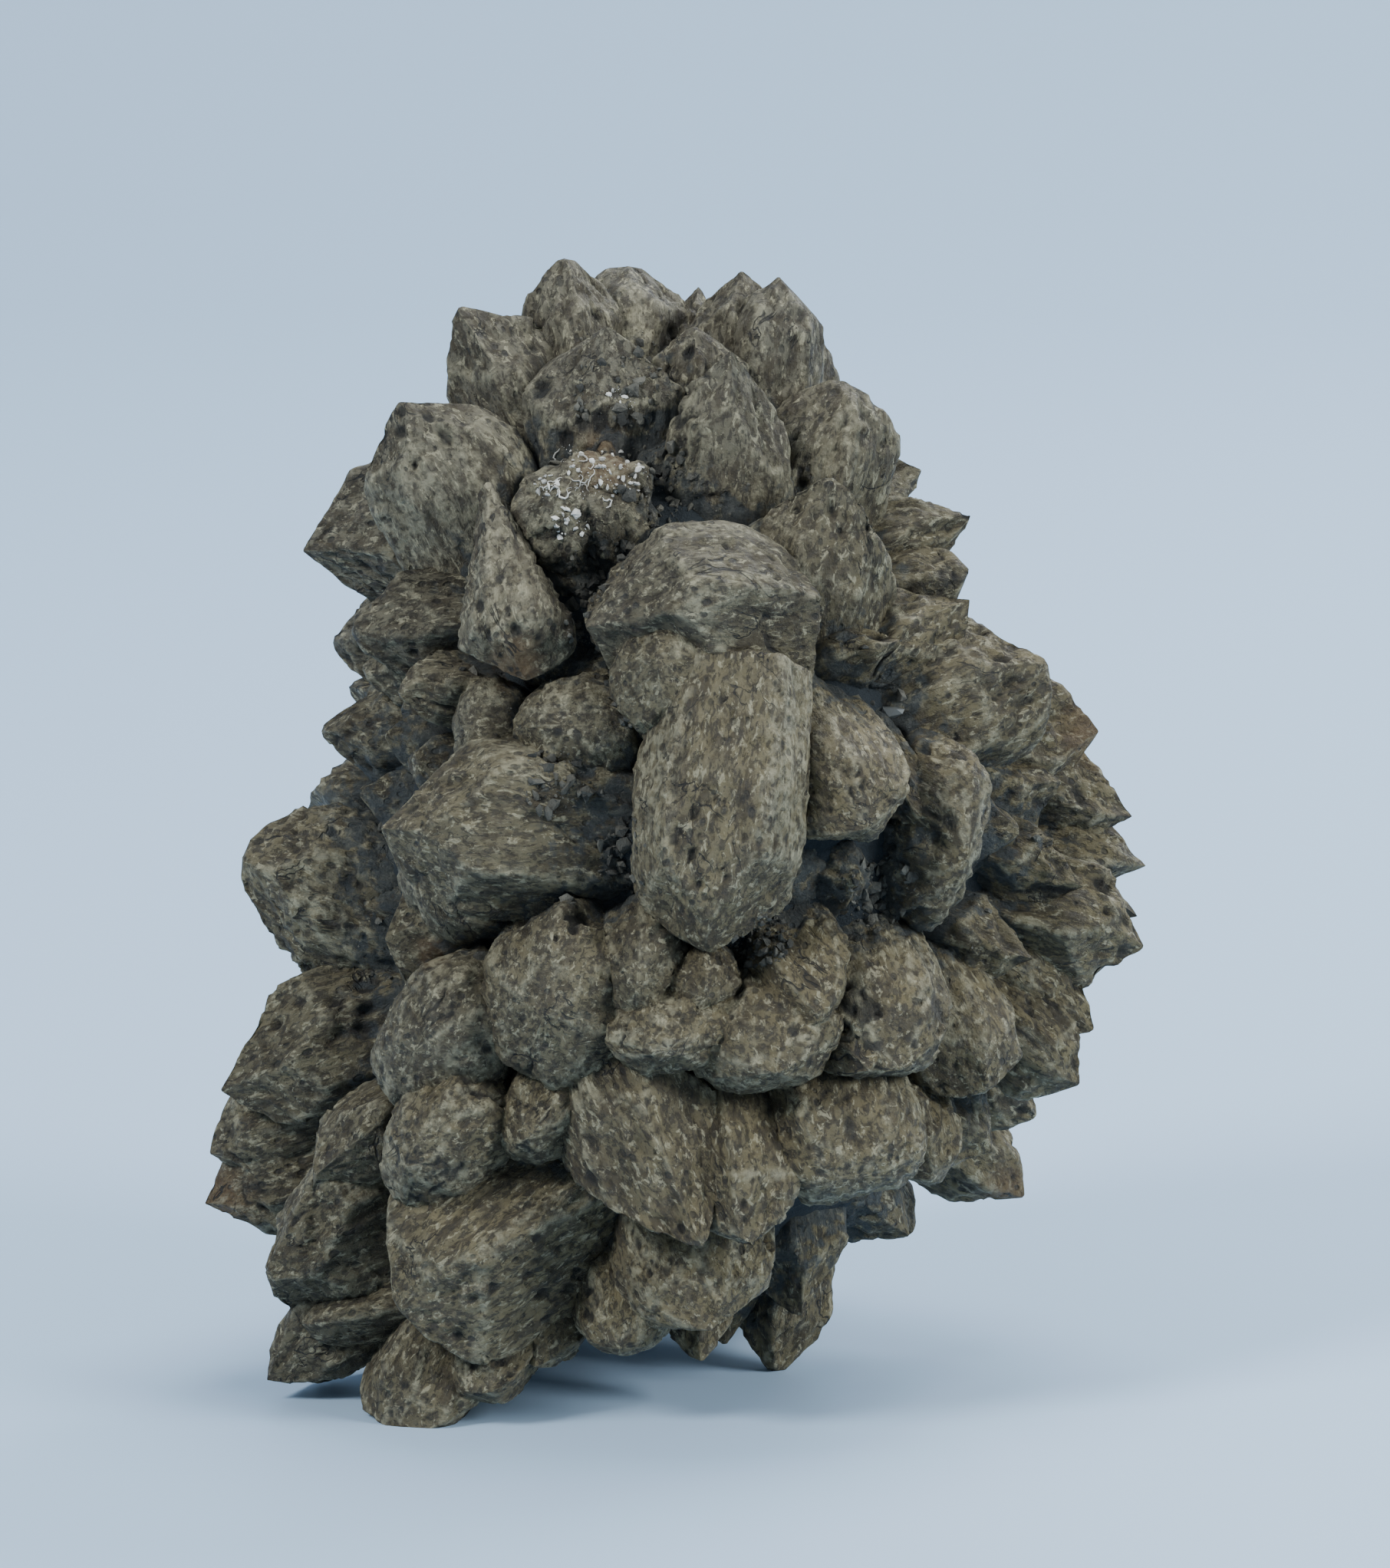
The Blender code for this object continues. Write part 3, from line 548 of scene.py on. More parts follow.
def crystal_mesh(name, crystal, wide, number, step):
    """One closed crystal, in metres, with its grain and state kept on its corners."""
    root, tip = np.array(crystal.root, float), np.array(crystal.tip, float)
    length = np.linalg.norm(tip - root)
    along = (tip - root) / length
    across = wide - along * wide.dot(along)
    across /= np.linalg.norm(across)
    deep = np.cross(along, across)
    sides = int(np.clip(OVAL_GIRTH * (crystal.wide + crystal.thick) / step, 18, 130)) // 2 * 2
    rows = int(np.clip(length * 1.1 / step, 14, 110))

    travel = np.linspace(0.0, 1.0, rows + 2)[1:-1]
    share = (1 - (1 - travel) ** 1.3)[:, None]
    angle = (np.arange(sides) * 2 * math.pi / sides)[None, :] + 0 * share
    share = share + 0 * angle
    wide_at, thick_at = profile(share, crystal.point)
    faces = [reach * wide_at for reach in long_faces(angle, crystal, number, share)]
    faces += tip_faces(angle, crystal, number, (1 - share) * length)
    radius = soft_least(faces, EDGE_SHARPNESS)
    nearest_two = np.sort(np.stack(faces), axis=0)[:2]
    ridge = 1 - soft_step(0.0, 0.09, nearest_two[1] / np.maximum(nearest_two[0], 1e-4) - 1)
    x = np.cos(angle) * radius * crystal.wide / 2 + crystal.bow * np.sin(math.pi * share)
    y = np.sin(angle) * radius * np.minimum(thick_at / np.maximum(wide_at, 1e-4), 1.3) * crystal.thick / 2
    if crystal.tip == RINGED_TIP:
        slim = RINGED_ROOT + (1 - RINGED_ROOT) * share
        x, y = x * slim, y * slim
    grain = np.stack([x, y, share * length], axis=-1)

    around = np.roll(grain, -1, 1) - np.roll(grain, 1, 1)
    normal = np.cross(around, np.gradient(grain, axis=0))
    normal /= np.maximum(np.linalg.norm(normal, axis=-1, keepdims=True), 1e-9)
    lined = 0.25 + 0.5 * own(number, 0, 5) + (PLATED_MORE if tip[0] > PLATED_FROM else 0.0)
    coarse = COARSE_PITS if crystal.tip in PITTED_TIPS or own(number, 0, 14) > 0.8 else 1.0
    height, hollow = relief(grain, number, lined, coarse, crystal.tip == RINGED_TIP)
    strength = soft_step(0.0, 0.2, 1 - share) * 0.85 + 0.15
    if crystal.tip == ROUGH_TIP:
        strength = ROUGH_RELIEF
    shaped = grain + normal * ((height - 0.12) * strength)[..., None]
    shaped = broken_tip(shaped, number, length)

    top = shaped[-1].mean(axis=0) + [0, 0, 0.05]
    local = np.concatenate([[[0, 0, 0]], shaped.reshape(-1, 3), [top]])
    place = root + local[:, :1] * across + local[:, 1:2] * deep + local[:, 2:] * along
    verts = standing(place)
    verts[:, 2] = np.maximum(verts[:, 2], 0.0)
    state = np.stack([hollow.ravel(), share.ravel(), ridge.ravel()], axis=-1)
    state = np.concatenate([[[0, 0, 0]], state, [[0, 1, 1]]])
    return mesh_of(name, verts, tube_faces(rows, sides), place, local, state, number)


def broken_tip(local, number, length):
    """Some crystals end in a broken face that cuts their tip off at a slant."""
    if own(number, 0, 6) > 0.45:
        return local
    tilt = (own(number, 0, 7) - 0.5) * 1.4
    aside = own(number, 0, 8) * 2 * math.pi
    facing = np.array([math.sin(tilt) * math.cos(aside), math.sin(tilt) * math.sin(aside), math.cos(tilt)])
    middle = np.array([0, 0, length * (0.94 + 0.03 * own(number, 0, 9))])
    over = np.maximum((local - middle) @ facing, 0)
    return local - facing * (over * 0.8)[..., None]


def tube_faces(rows, sides):
    """Rings of four-sided faces with a fan of triangles at each end, all facing out."""
    row, col = np.meshgrid(np.arange(rows - 1), np.arange(sides), indexing="ij")
    next_col = (col + 1) % sides
    here = 1 + row * sides
    quads = np.stack([here + col, here + next_col, here + sides + next_col, here + sides + col], axis=-1)
    ring = np.arange(sides)
    after = (ring + 1) % sides
    low_cap = np.stack([np.zeros_like(ring), 1 + after, 1 + ring], axis=-1)
    last = 1 + (rows - 1) * sides
    high_cap = np.stack([last + ring, last + after, np.full_like(ring, last + sides)], axis=-1)
    return low_cap, quads.reshape(-1, 4), high_cap


def tone_at(place):
    """Warm, weathered and rusty shares of the colour at places of the front view."""
    warm = soft_step(-30, 35, place[:, 0] - 0.55 * (place[:, 1] - 60))
    weathered = soft_step(85, 130, place[:, 1] - 0.5 * place[:, 0])
    rust = np.zeros(len(place))
    for right, up, size in RUST_SPOTS:
        away = np.hypot(place[:, 0] - right, place[:, 1] - up)
        rust = np.maximum(rust, 1 - soft_step(0.35, 1.0, away / size))
    return np.stack([warm, weathered, rust * (place[:, 2] > -12)], axis=-1)


def keep(mesh, name, values, loops):
    """Three values per point, kept on the mesh's corners."""
    made = mesh.attributes.new(name, "FLOAT_VECTOR", "CORNER")
    made.data.foreach_set("vector", values[loops].ravel().astype(np.float32))


def mesh_of(name, verts, face_sets, place, local, state, number):
    """A mesh with the values that the materials read: grain, state and tone on corners, blade on faces."""
    mesh = bpy.data.meshes.new(name)
    loops = np.concatenate([faces.ravel() for faces in face_sets]).astype(np.int32)
    sizes = np.concatenate([np.full(len(faces), faces.shape[1]) for faces in face_sets])
    starts = np.concatenate([[0], np.cumsum(sizes)[:-1]]).astype(np.int32)
    mesh.vertices.add(len(verts))
    mesh.vertices.foreach_set("co", verts.ravel().astype(np.float32))
    mesh.loops.add(len(loops))
    mesh.loops.foreach_set("vertex_index", loops)
    mesh.polygons.add(len(sizes))
    mesh.polygons.foreach_set("loop_start", starts)
    mesh.update(calc_edges=True)
    mesh.polygons.foreach_set("use_smooth", np.ones(len(sizes), dtype=bool))
    keep(mesh, "grain", local + number * 13.7, loops)
    keep(mesh, "state", state, loops)
    keep(mesh, "tone", tone_at(place), loops)
    blade = mesh.attributes.new("blade", "FLOAT", "FACE")
    blade.data.foreach_set("value", np.full(len(sizes), own(number, 0, 10), dtype=np.float32))
    return mesh


# Growing the crystals of one side together

pieces = []


def show(name, mesh):
    made = bpy.data.objects.new(name, mesh)
    bpy.context.scene.collection.objects.link(made)
    pieces.append(made)
    return made


def seen_from_front(verts):
    """Points in metres, back in the front view's millimetres."""
    leaned = verts / MM - ORIGIN_SHIFT + [0, 0, SOLE_HEIGHT]
    return leaned @ np.array([RIGHT_WAY, UP_WAY, VIEWER_WAY]).T


CROWN_TOP = 137.0
BURIED_FROM, BURIED_OVER = 3.0, 12.0


def keep_buried(mesh):
    """How deep each point lies between the tips: 0 at the outline, 1 down where the clay is."""
    verts = np.empty(len(mesh.vertices) * 3)
    mesh.vertices.foreach_get("co", verts)
    place = seen_from_front(verts.reshape(-1, 3))
    middle, half = outline_at(place[:, 1])
    depth = half - np.hypot(place[:, 0] - middle, place[:, 2] / BODY_DEPTH)
    depth = np.minimum(depth, 0.8 * (CROWN_TOP - place[:, 1]))
    buried = mesh.attributes.new("buried", "FLOAT", "POINT")
    share = np.clip((depth - BURIED_FROM) / BURIED_OVER, 0, 1)
    buried.data.foreach_set("value", share.astype(np.float32))


def grown_together(name, meshes, material):
    """One closed piece from overlapping closed meshes."""
    made = show(name, meshes[0])
    others = []
    for mesh in meshes[1:]:
        other = bpy.data.objects.new(mesh.name, mesh)
        bpy.context.scene.collection.objects.link(other)
        join = made.modifiers.new(mesh.name, "BOOLEAN")
        join.operation = "UNION"
        join.solver = "MANIFOLD"
        join.object = other
        others.append(other)
    bpy.context.view_layer.update()
    whole = made.evaluated_get(bpy.context.evaluated_depsgraph_get())
    made.data = bpy.data.meshes.new_from_object(whole)
    made.modifiers.clear()
    for other in others:
        bpy.data.objects.remove(other)
    made.data.materials.clear()
    made.data.materials.append(material)
    made.data.polygons.foreach_set("use_smooth", np.ones(len(made.data.polygons), dtype=bool))
    keep_buried(made.data)
    return made


def crystals_of(rows, first_number, step):
    return [
        crystal_mesh(f"blade_{first_number + k}", crystal, way, first_number + k, step)
        for k, (crystal, way) in enumerate(rows)
    ]


# A body of twenty triangles that every crumb of rock starts from

SOLID_CORNERS = np.array(
    [
        (0, 0, 1), (0.89, 0, 0.45), (0.28, 0.85, 0.45),
        (-0.72, 0.53, 0.45), (-0.72, -0.53, 0.45), (0.28, -0.85, 0.45),
        (0.72, 0.53, -0.45), (-0.28, 0.85, -0.45), (-0.89, 0, -0.45),
        (-0.28, -0.85, -0.45), (0.72, -0.53, -0.45), (0, 0, -1),
    ]
)
SOLID_FACES = np.array(
    [
        (0, 1, 2), (0, 2, 3), (0, 3, 4), (0, 4, 5), (0, 5, 1),
        (1, 6, 2), (2, 7, 3), (3, 8, 4), (4, 9, 5), (5, 10, 1),
        (6, 7, 2), (7, 8, 3), (8, 9, 4), (9, 10, 5), (10, 6, 1),
        (11, 7, 6), (11, 8, 7), (11, 9, 8), (11, 10, 9), (11, 6, 10),
    ]
)
SIGHT_START = 90.0
FULL_TURN = 6.283


def front_hit(targets, right, up, side=1.0):
    """Where the line of sight at a place of the front view meets the surface, and its normal.
    side is 1 from the viewer and -1 from behind."""
    start = Vector(standing(np.array([[right, up, SIGHT_START * side]]))[0])
    best = None
    for target in targets:
        found, place, normal, _ = target.ray_cast(start, -Vector(VIEWER_WAY) * side)
        if found and (best is None or (place - start).length < best[0]):
            best = ((place - start).length, np.array(place) / MM, np.array(normal))
    return best


def angular_grain(place, size, number):
    """One crumb of rock: twelve uneven corners around a place, in mm."""
    uneven_out = 0.5 + 0.8 * lattice(np.array([[number, k, 2] for k in range(12)]), 61)
    stretch = 0.45 + 1.0 * lattice(np.array([[number, k, 4] for k in range(3)]), 61)
    spin = Matrix.Rotation(6.3 * own(number, 0, 63), 3, "Z")
    spin = spin @ Matrix.Rotation(6.3 * own(number, 1, 63), 3, "X")
    return place + (SOLID_CORNERS * uneven_out[:, None] * stretch) @ np.array(spin) * size


def loose_mesh(name, shapes, smooth):
    """One mesh from many small closed shapes, each (corners in mm, faces, number)."""
    points, faces, blades, count = [], [], [], 0
    for corners, sides, number in shapes:
        points.append(corners)
        faces.append(sides + count)
        blades.append(np.full(len(sides), own(number, 0, 10)))
        count += len(corners)
    points, faces, blades = np.concatenate(points), np.concatenate(faces), np.concatenate(blades)
    state = np.zeros_like(points)
    mesh = mesh_of(name, points * MM, (faces,), seen_from_front(points * MM), points, state, 0)
    mesh.attributes["blade"].data.foreach_set("value", blades.astype(np.float32))
    mesh.polygons.foreach_set("use_smooth", np.full(len(faces), smooth, dtype=bool))
    return mesh


GRIT_TRIES = 4400
GRIT_LEFT, GRIT_WIDTH = -46, 94
GRIT_LOW, GRIT_HEIGHT = 8, 126
GRIT_DEPTH, RUBBLE_DEPTH = 6.0, 3.0

# Rubble and lint, each spot as right, up and radius in the front view

RUBBLE_SPOTS = (
    (-7, 125, 6.5), (-2, 112, 5.5), (-8.5, 102, 4.5), (-14, 77, 4), (-4.5, 68, 4.5),
    (24, 64, 4.5), (-3, 88, 5), (10, 58.5, 3.5), (-9, 96, 4), (22, 78, 5),
)
LINT_SPOTS = (
    (-12.5, 115.5, 1.5), (-15, 111.8, 1.5), (-10, 112.8, 2.6), (-5.0, 112.4, 2.4), (-12.2, 107.5, 2.2),
    (-6.5, 122.3, 1.8), (-7.5, 113.5, 3.2),
)
LINT_TRIES = 260
THREADED_SPOTS = 3
THREAD_POINTS = 9
THREAD_STEP = 0.3
THREAD_JUMP = 0.9
CHIP_SPOT = (25.9, 85.4)


def grit_shapes(targets):
    """Crumbs lying deep between the crystals, thickest in the rubble spots."""
    shapes = []
    for number in range(GRIT_TRIES):
        a, b, c = (own(number, k, 70) for k in range(3))
        if number % 2:
            right, up = GRIT_LEFT + GRIT_WIDTH * a, GRIT_LOW + GRIT_HEIGHT * b
            least, side = GRIT_DEPTH, -1.0 if number % 4 == 1 else 1.0
        else:
            x, z, size = RUBBLE_SPOTS[number // 2 % len(RUBBLE_SPOTS)]
            reach = size * math.sqrt(a)
            right, up = x + reach * math.cos(FULL_TURN * b), z + reach * math.sin(FULL_TURN * b)
            least, side = RUBBLE_DEPTH, 1.0
        hit = front_hit(targets, right, up, side)
        if hit is None:
            continue
        _, place, normal = hit
        front = seen_from_front(place[None] * MM)
        middle, half = outline_at(front[:, 1])
        if float(half - np.hypot(front[:, 0] - middle, front[:, 2] / BODY_DEPTH)) < least:
            continue
        size = 0.1 + 0.8 * c**6
        shapes.append((angular_grain(place + normal * 0.1 * size, size, number), SOLID_FACES, number))
    return shapes


def lint_shapes(targets):
    """Curled threads and chalky crumbs caught on the rough crystal at the upper left."""
    shapes = []
    for number in range(LINT_TRIES):
        x, z, size = LINT_SPOTS[number % len(LINT_SPOTS)]
        reach = size * math.sqrt(own(number, 0, 81))
        turn = FULL_TURN * own(number, 1, 81)
        right, up = x + reach * math.cos(turn), z + reach * math.sin(turn)
        hit = front_hit(targets, right, up)
        if hit is None:
            continue
        if number % 5 or number % len(LINT_SPOTS) >= THREADED_SPOTS:
            grain = 0.06 + 0.42 * own(number, 2, 81) ** 4
            shapes.append((angular_grain(hit[1] + hit[2] * 0.4 * grain, grain, number), SOLID_FACES, number))
            continue
        way, path = FULL_TURN * own(number, 3, 81), []
        for k in range(THREAD_POINTS):
            way += 2.3 * (own(number, 10 + k, 82) - 0.5)
            right, up = right + THREAD_STEP * math.cos(way), up + THREAD_STEP * math.sin(way)
            hit = front_hit(targets, right, up)
            if hit is None or (path and np.linalg.norm(hit[1] - path[-1]) > THREAD_JUMP):
                break
            path.append(hit[1] + hit[2] * (0.05 + 0.2 * own(number, k, 83)))
        if len(path) > 4:
            shapes.append((*thread(np.array(path), 0.045 + 0.11 * own(number, 4, 81) ** 2), number))
    return shapes


def thread(path, thickness):
    """A closed four-sided thread along a path in mm."""
    run = np.gradient(path, axis=0)
    run /= np.linalg.norm(run, axis=1, keepdims=True)
    side = np.cross(run, VIEWER_WAY)
    side /= np.maximum(np.linalg.norm(side, axis=1, keepdims=True), 1e-6)
    rise = np.cross(run, side)
    taper = thickness * (1 - 0.6 * np.abs(np.linspace(-1, 1, len(path)))[:, None] ** 3)
    rings = np.stack([path + taper * way for way in (side, rise, -side, -rise)], axis=1)
    first, last = path[:1] - run[:1] * thickness, path[-1:] + run[-1:] * thickness
    corners = np.concatenate([first, rings.reshape(-1, 3), last])
    low_cap, quads, high_cap = tube_faces(len(path), 4)
    quads = np.concatenate([quads[:, [0, 1, 2]], quads[:, [0, 2, 3]]])
    return corners, np.concatenate([low_cap, quads, high_cap])


def chip_shapes(targets):
    """The small pale wedge caught between two crystals on the right."""
    hit = front_hit(targets, *CHIP_SPOT)
    wedge = SOLID_CORNERS * [1.6, 1.0, 1.0]
    wedge[:, 2] = np.minimum(wedge[:, 2] * (1 - 0.4 * wedge[:, 0]), 0.4)
    return [(hit[1] + hit[2] * 0.5 + wedge, SOLID_FACES, 3)]


CLAY_LOW, CLAY_HIGH = 17.0, 125.0
CLAY_INSET = 13.5
LUMP_SIZE, LUMP_HEIGHT = 5.0, 1.3
CLOD_SIZE, CLOD_HEIGHT = 2.2, 0.9


def clay_mesh(name):
    """The clay packed between the crystals: a lumpy body inside their tips."""
    sides, rows = ((160, 140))
    rise = np.linspace(0, math.pi, rows + 2)[1:-1][:, None]
    angle = (np.arange(sides) * -2 * math.pi / sides)[None, :] + 0 * rise
    height = CLAY_LOW + (CLAY_HIGH - CLAY_LOW) * (1 - np.cos(rise)) / 2 + 0 * angle
    middle, half = outline_at(height)
    girth = np.maximum(half - CLAY_INSET, 6.0) * np.minimum(1.0, 2.2 * np.sin(rise))
    place = np.stack([middle + girth * np.cos(angle), height, BODY_DEPTH * girth * np.sin(angle)], axis=-1)
    outward = np.stack([np.cos(angle), 0 * angle, np.sin(angle)], axis=-1)
    lumps = layered_noise(place / LUMP_SIZE, 201, 3) * LUMP_HEIGHT
    far, _, home = nearest_seed(place / CLOD_SIZE, 202)
    lumps = lumps + CLOD_HEIGHT * (0.5 - far) * (lattice(home, 203) > 0.4)
    place = place + outward * lumps[..., None]
    full = np.concatenate([place[:1].mean(axis=1), place.reshape(-1, 3), place[-1:].mean(axis=1)])
    state = np.zeros_like(full)
    return mesh_of(name, standing(full), tube_faces(rows, sides), full, full, state, 0)


# Materials


def group(name, inputs, outputs):
    made = bpy.data.node_groups.new(name, "ShaderNodeTree")
    for label, kind, value in inputs:
        socket = made.interface.new_socket(name=label, in_out="INPUT", socket_type=kind)
        if value is not None:
            socket.default_value = value
    for label, kind in outputs:
        made.interface.new_socket(name=label, in_out="OUTPUT", socket_type=kind)
    return made, made.nodes.new("NodeGroupInput"), made.nodes.new("NodeGroupOutput")


def node(tree, kind, **settings):
    made = tree.nodes.new(kind)
    for name, value in settings.items():
        setattr(made, name, value)
    return made


def stretched(tree, vector, scale):
    """The grain measured in units that differ along and across a crystal."""
    scaled = node(tree, "ShaderNodeVectorMath", operation="MULTIPLY")
    tree.links.new(vector, scaled.inputs[0])
    scaled.inputs[1].default_value = scale
    return scaled.outputs[0]


def noise(tree, vector, scale, detail, rough=0.55, distort=0.0):
    made = node(tree, "ShaderNodeTexNoise")
    tree.links.new(vector, made.inputs["Vector"])
    made.inputs["Scale"].default_value = scale
    made.inputs["Detail"].default_value = detail
    made.inputs["Roughness"].default_value = rough
    made.inputs["Distortion"].default_value = distort
    return made.outputs["Fac"]


def between(tree, value, low, high, to_low=0.0, to_high=1.0):
    made = node(tree, "ShaderNodeMapRange", interpolation_type="SMOOTHSTEP")
    tree.links.new(value, made.inputs["Value"])
    made.inputs["From Min"].default_value = low
    made.inputs["From Max"].default_value = high
    made.inputs["To Min"].default_value = to_low
    made.inputs["To Max"].default_value = to_high
    return made.outputs["Result"]


def math_of(tree, operation, first, second):
    made = node(tree, "ShaderNodeMath", operation=operation)
    for socket, value in zip(made.inputs, (first, second)):
        if isinstance(value, (int, float)):
            socket.default_value = value
        else:
            tree.links.new(value, socket)
    return made.outputs[0]


def scaled_by(tree, mask, share):
    return math_of(tree, "MULTIPLY", mask, share)


def mixed(tree, share, first, second):
    made = node(tree, "ShaderNodeMix", data_type="RGBA")
    for socket, value in ((made.inputs[0], share), (made.inputs[6], first), (made.inputs[7], second)):
        if isinstance(value, (int, float)):
            socket.default_value = value
        elif isinstance(value, tuple):
            socket.default_value = (*value, 1.0)
        else:
            tree.links.new(value, socket)
    return made.outputs[2]


def use(tree, inner, **values):
    placed = node(tree, "ShaderNodeGroup", node_tree=inner)
    for label, value in values.items():
        socket = placed.inputs[label]
        if isinstance(value, (int, float)):
            socket.default_value = value
        else:
            tree.links.new(value, socket)
    return placed.outputs[0]


def divided(tree, vector, size):
    """A vector over one measure that holds for all three of its ways."""
    made = node(tree, "ShaderNodeVectorMath", operation="DIVIDE")
    sizes = node(tree, "ShaderNodeCombineXYZ")
    for socket in sizes.inputs:
        tree.links.new(size, socket)
    tree.links.new(vector, made.inputs[0])
    tree.links.new(sizes.outputs[0], made.inputs[1])
    return made.outputs[0]


def blotch_group():
    """Soft-edged blotches drawn out along the growth of a crystal: a mask from 0 to 1."""
    tree, into, out = group(
        "drawn_out_blotches",
        [
            ("Grain", "NodeSocketVector", None),
            ("Size", "NodeSocketFloat", 1.0),
            ("Cover", "NodeSocketFloat", 0.5),
            ("Softness", "NodeSocketFloat", 0.1),
        ],
        [("Mask", "NodeSocketFloat")],
    )
    scaled = divided(tree, into.outputs["Grain"], into.outputs["Size"])
    patches = noise(tree, stretched(tree, scaled, (1.0, 1.0, 0.42)), 1.0, 6.0, 0.66, 0.6)
    over = math_of(tree, "SUBTRACT", patches, math_of(tree, "SUBTRACT", 1.0, into.outputs["Cover"]))
    share = math_of(tree, "DIVIDE", over, into.outputs["Softness"])
    tree.links.new(between(tree, share, -1.0, 1.0), out.inputs["Mask"])
    return tree


def growth_line_group():
    """Fine growth lines and grit: heights from 0 to 1."""
    tree, into, out = group(
        "growth_lines",
        [("Grain", "NodeSocketVector", None), ("Fineness", "NodeSocketFloat", 1.0)],
        [("Height", "NodeSocketFloat")],
    )
    scaled = node(tree, "ShaderNodeVectorMath", operation="SCALE")
    tree.links.new(into.outputs["Grain"], scaled.inputs[0])
    tree.links.new(into.outputs["Fineness"], scaled.inputs["Scale"])
    lines = noise(tree, stretched(tree, scaled.outputs[0], (1.7, 1.7, 0.25)), 1.0, 5.0, 0.65, 0.3)
    grit = noise(tree, scaled.outputs[0], 2.4, 5.0, 0.7)
    height = math_of(tree, "ADD", scaled_by(tree, lines, 0.55), scaled_by(tree, grit, 0.45))
    tree.links.new(height, out.inputs["Height"])
    return tree


def pin_pit_group():
    """Scattered pin-prick pits: a mask from 0 to 1."""
    tree, into, out = group(
        "pin_pits",
        [("Grain", "NodeSocketVector", None), ("Spacing", "NodeSocketFloat", 1.0)],
        [("Mask", "NodeSocketFloat")],
    )
    scaled = divided(tree, into.outputs["Grain"], into.outputs["Spacing"])
    cells = node(tree, "ShaderNodeTexVoronoi", feature="F1")
    tree.links.new(stretched(tree, scaled, (1.0, 1.0, 0.6)), cells.inputs["Vector"])
    cells.inputs["Scale"].default_value = 1.0
    some = noise(tree, scaled, 0.35, 2.0)
    size = between(tree, some, 0.42, 0.62, 0.02, 0.34)
    inside = math_of(tree, "SUBTRACT", size, cells.outputs["Distance"])
    tree.links.new(between(tree, inside, 0.0, 0.14), out.inputs["Mask"])
    return tree


def fissure_group():
    """Thin dark cracks that wander along a crystal: a mask from 0 to 1."""
    tree, into, out = group(
        "fissures",
        [("Grain", "NodeSocketVector", None), ("Width", "NodeSocketFloat", 0.01)],
        [("Mask", "NodeSocketFloat")],
    )
    drawn = stretched(tree, into.outputs["Grain"], (0.11, 0.11, 0.065))
    field = noise(tree, drawn, 1.0, 4.0, 0.55, 0.9)
    middle = math_of(tree, "ABSOLUTE", math_of(tree, "SUBTRACT", field, 0.5), 0.0)
    line = between(tree, math_of(tree, "DIVIDE", middle, into.outputs["Width"]), 1.0, 0.35)
    some = between(tree, noise(tree, into.outputs["Grain"], 0.09, 2.0), 0.54, 0.61)
    tree.links.new(math_of(tree, "MULTIPLY", line, some), out.inputs["Mask"])
    return tree


BUMP_HEIGHT = 0.0009


def attribute(tree, name):
    return node(tree, "ShaderNodeAttribute", attribute_name=name).outputs["Vector"]


def parts_of(tree, vector):
    made = node(tree, "ShaderNodeSeparateXYZ")
    tree.links.new(vector, made.inputs[0])
    return made.outputs


def number_of(tree, name):
    return node(tree, "ShaderNodeAttribute", attribute_name=name).outputs["Fac"]


def new_material(name):
    """A material with its node tree and its shader."""
    material = bpy.data.materials.new(name)
    material.use_nodes = True
    return material, material.node_tree, material.node_tree.nodes["Principled BSDF"]


def raise_surface(tree, shader, height):
    """Fine relief from heights of 0 to 1."""
    bump = node(tree, "ShaderNodeBump")
    bump.inputs["Strength"].default_value = 1.0
    bump.inputs["Distance"].default_value = BUMP_HEIGHT
    tree.links.new(height, bump.inputs["Height"])
    tree.links.new(bump.outputs["Normal"], shader.inputs["Normal"])


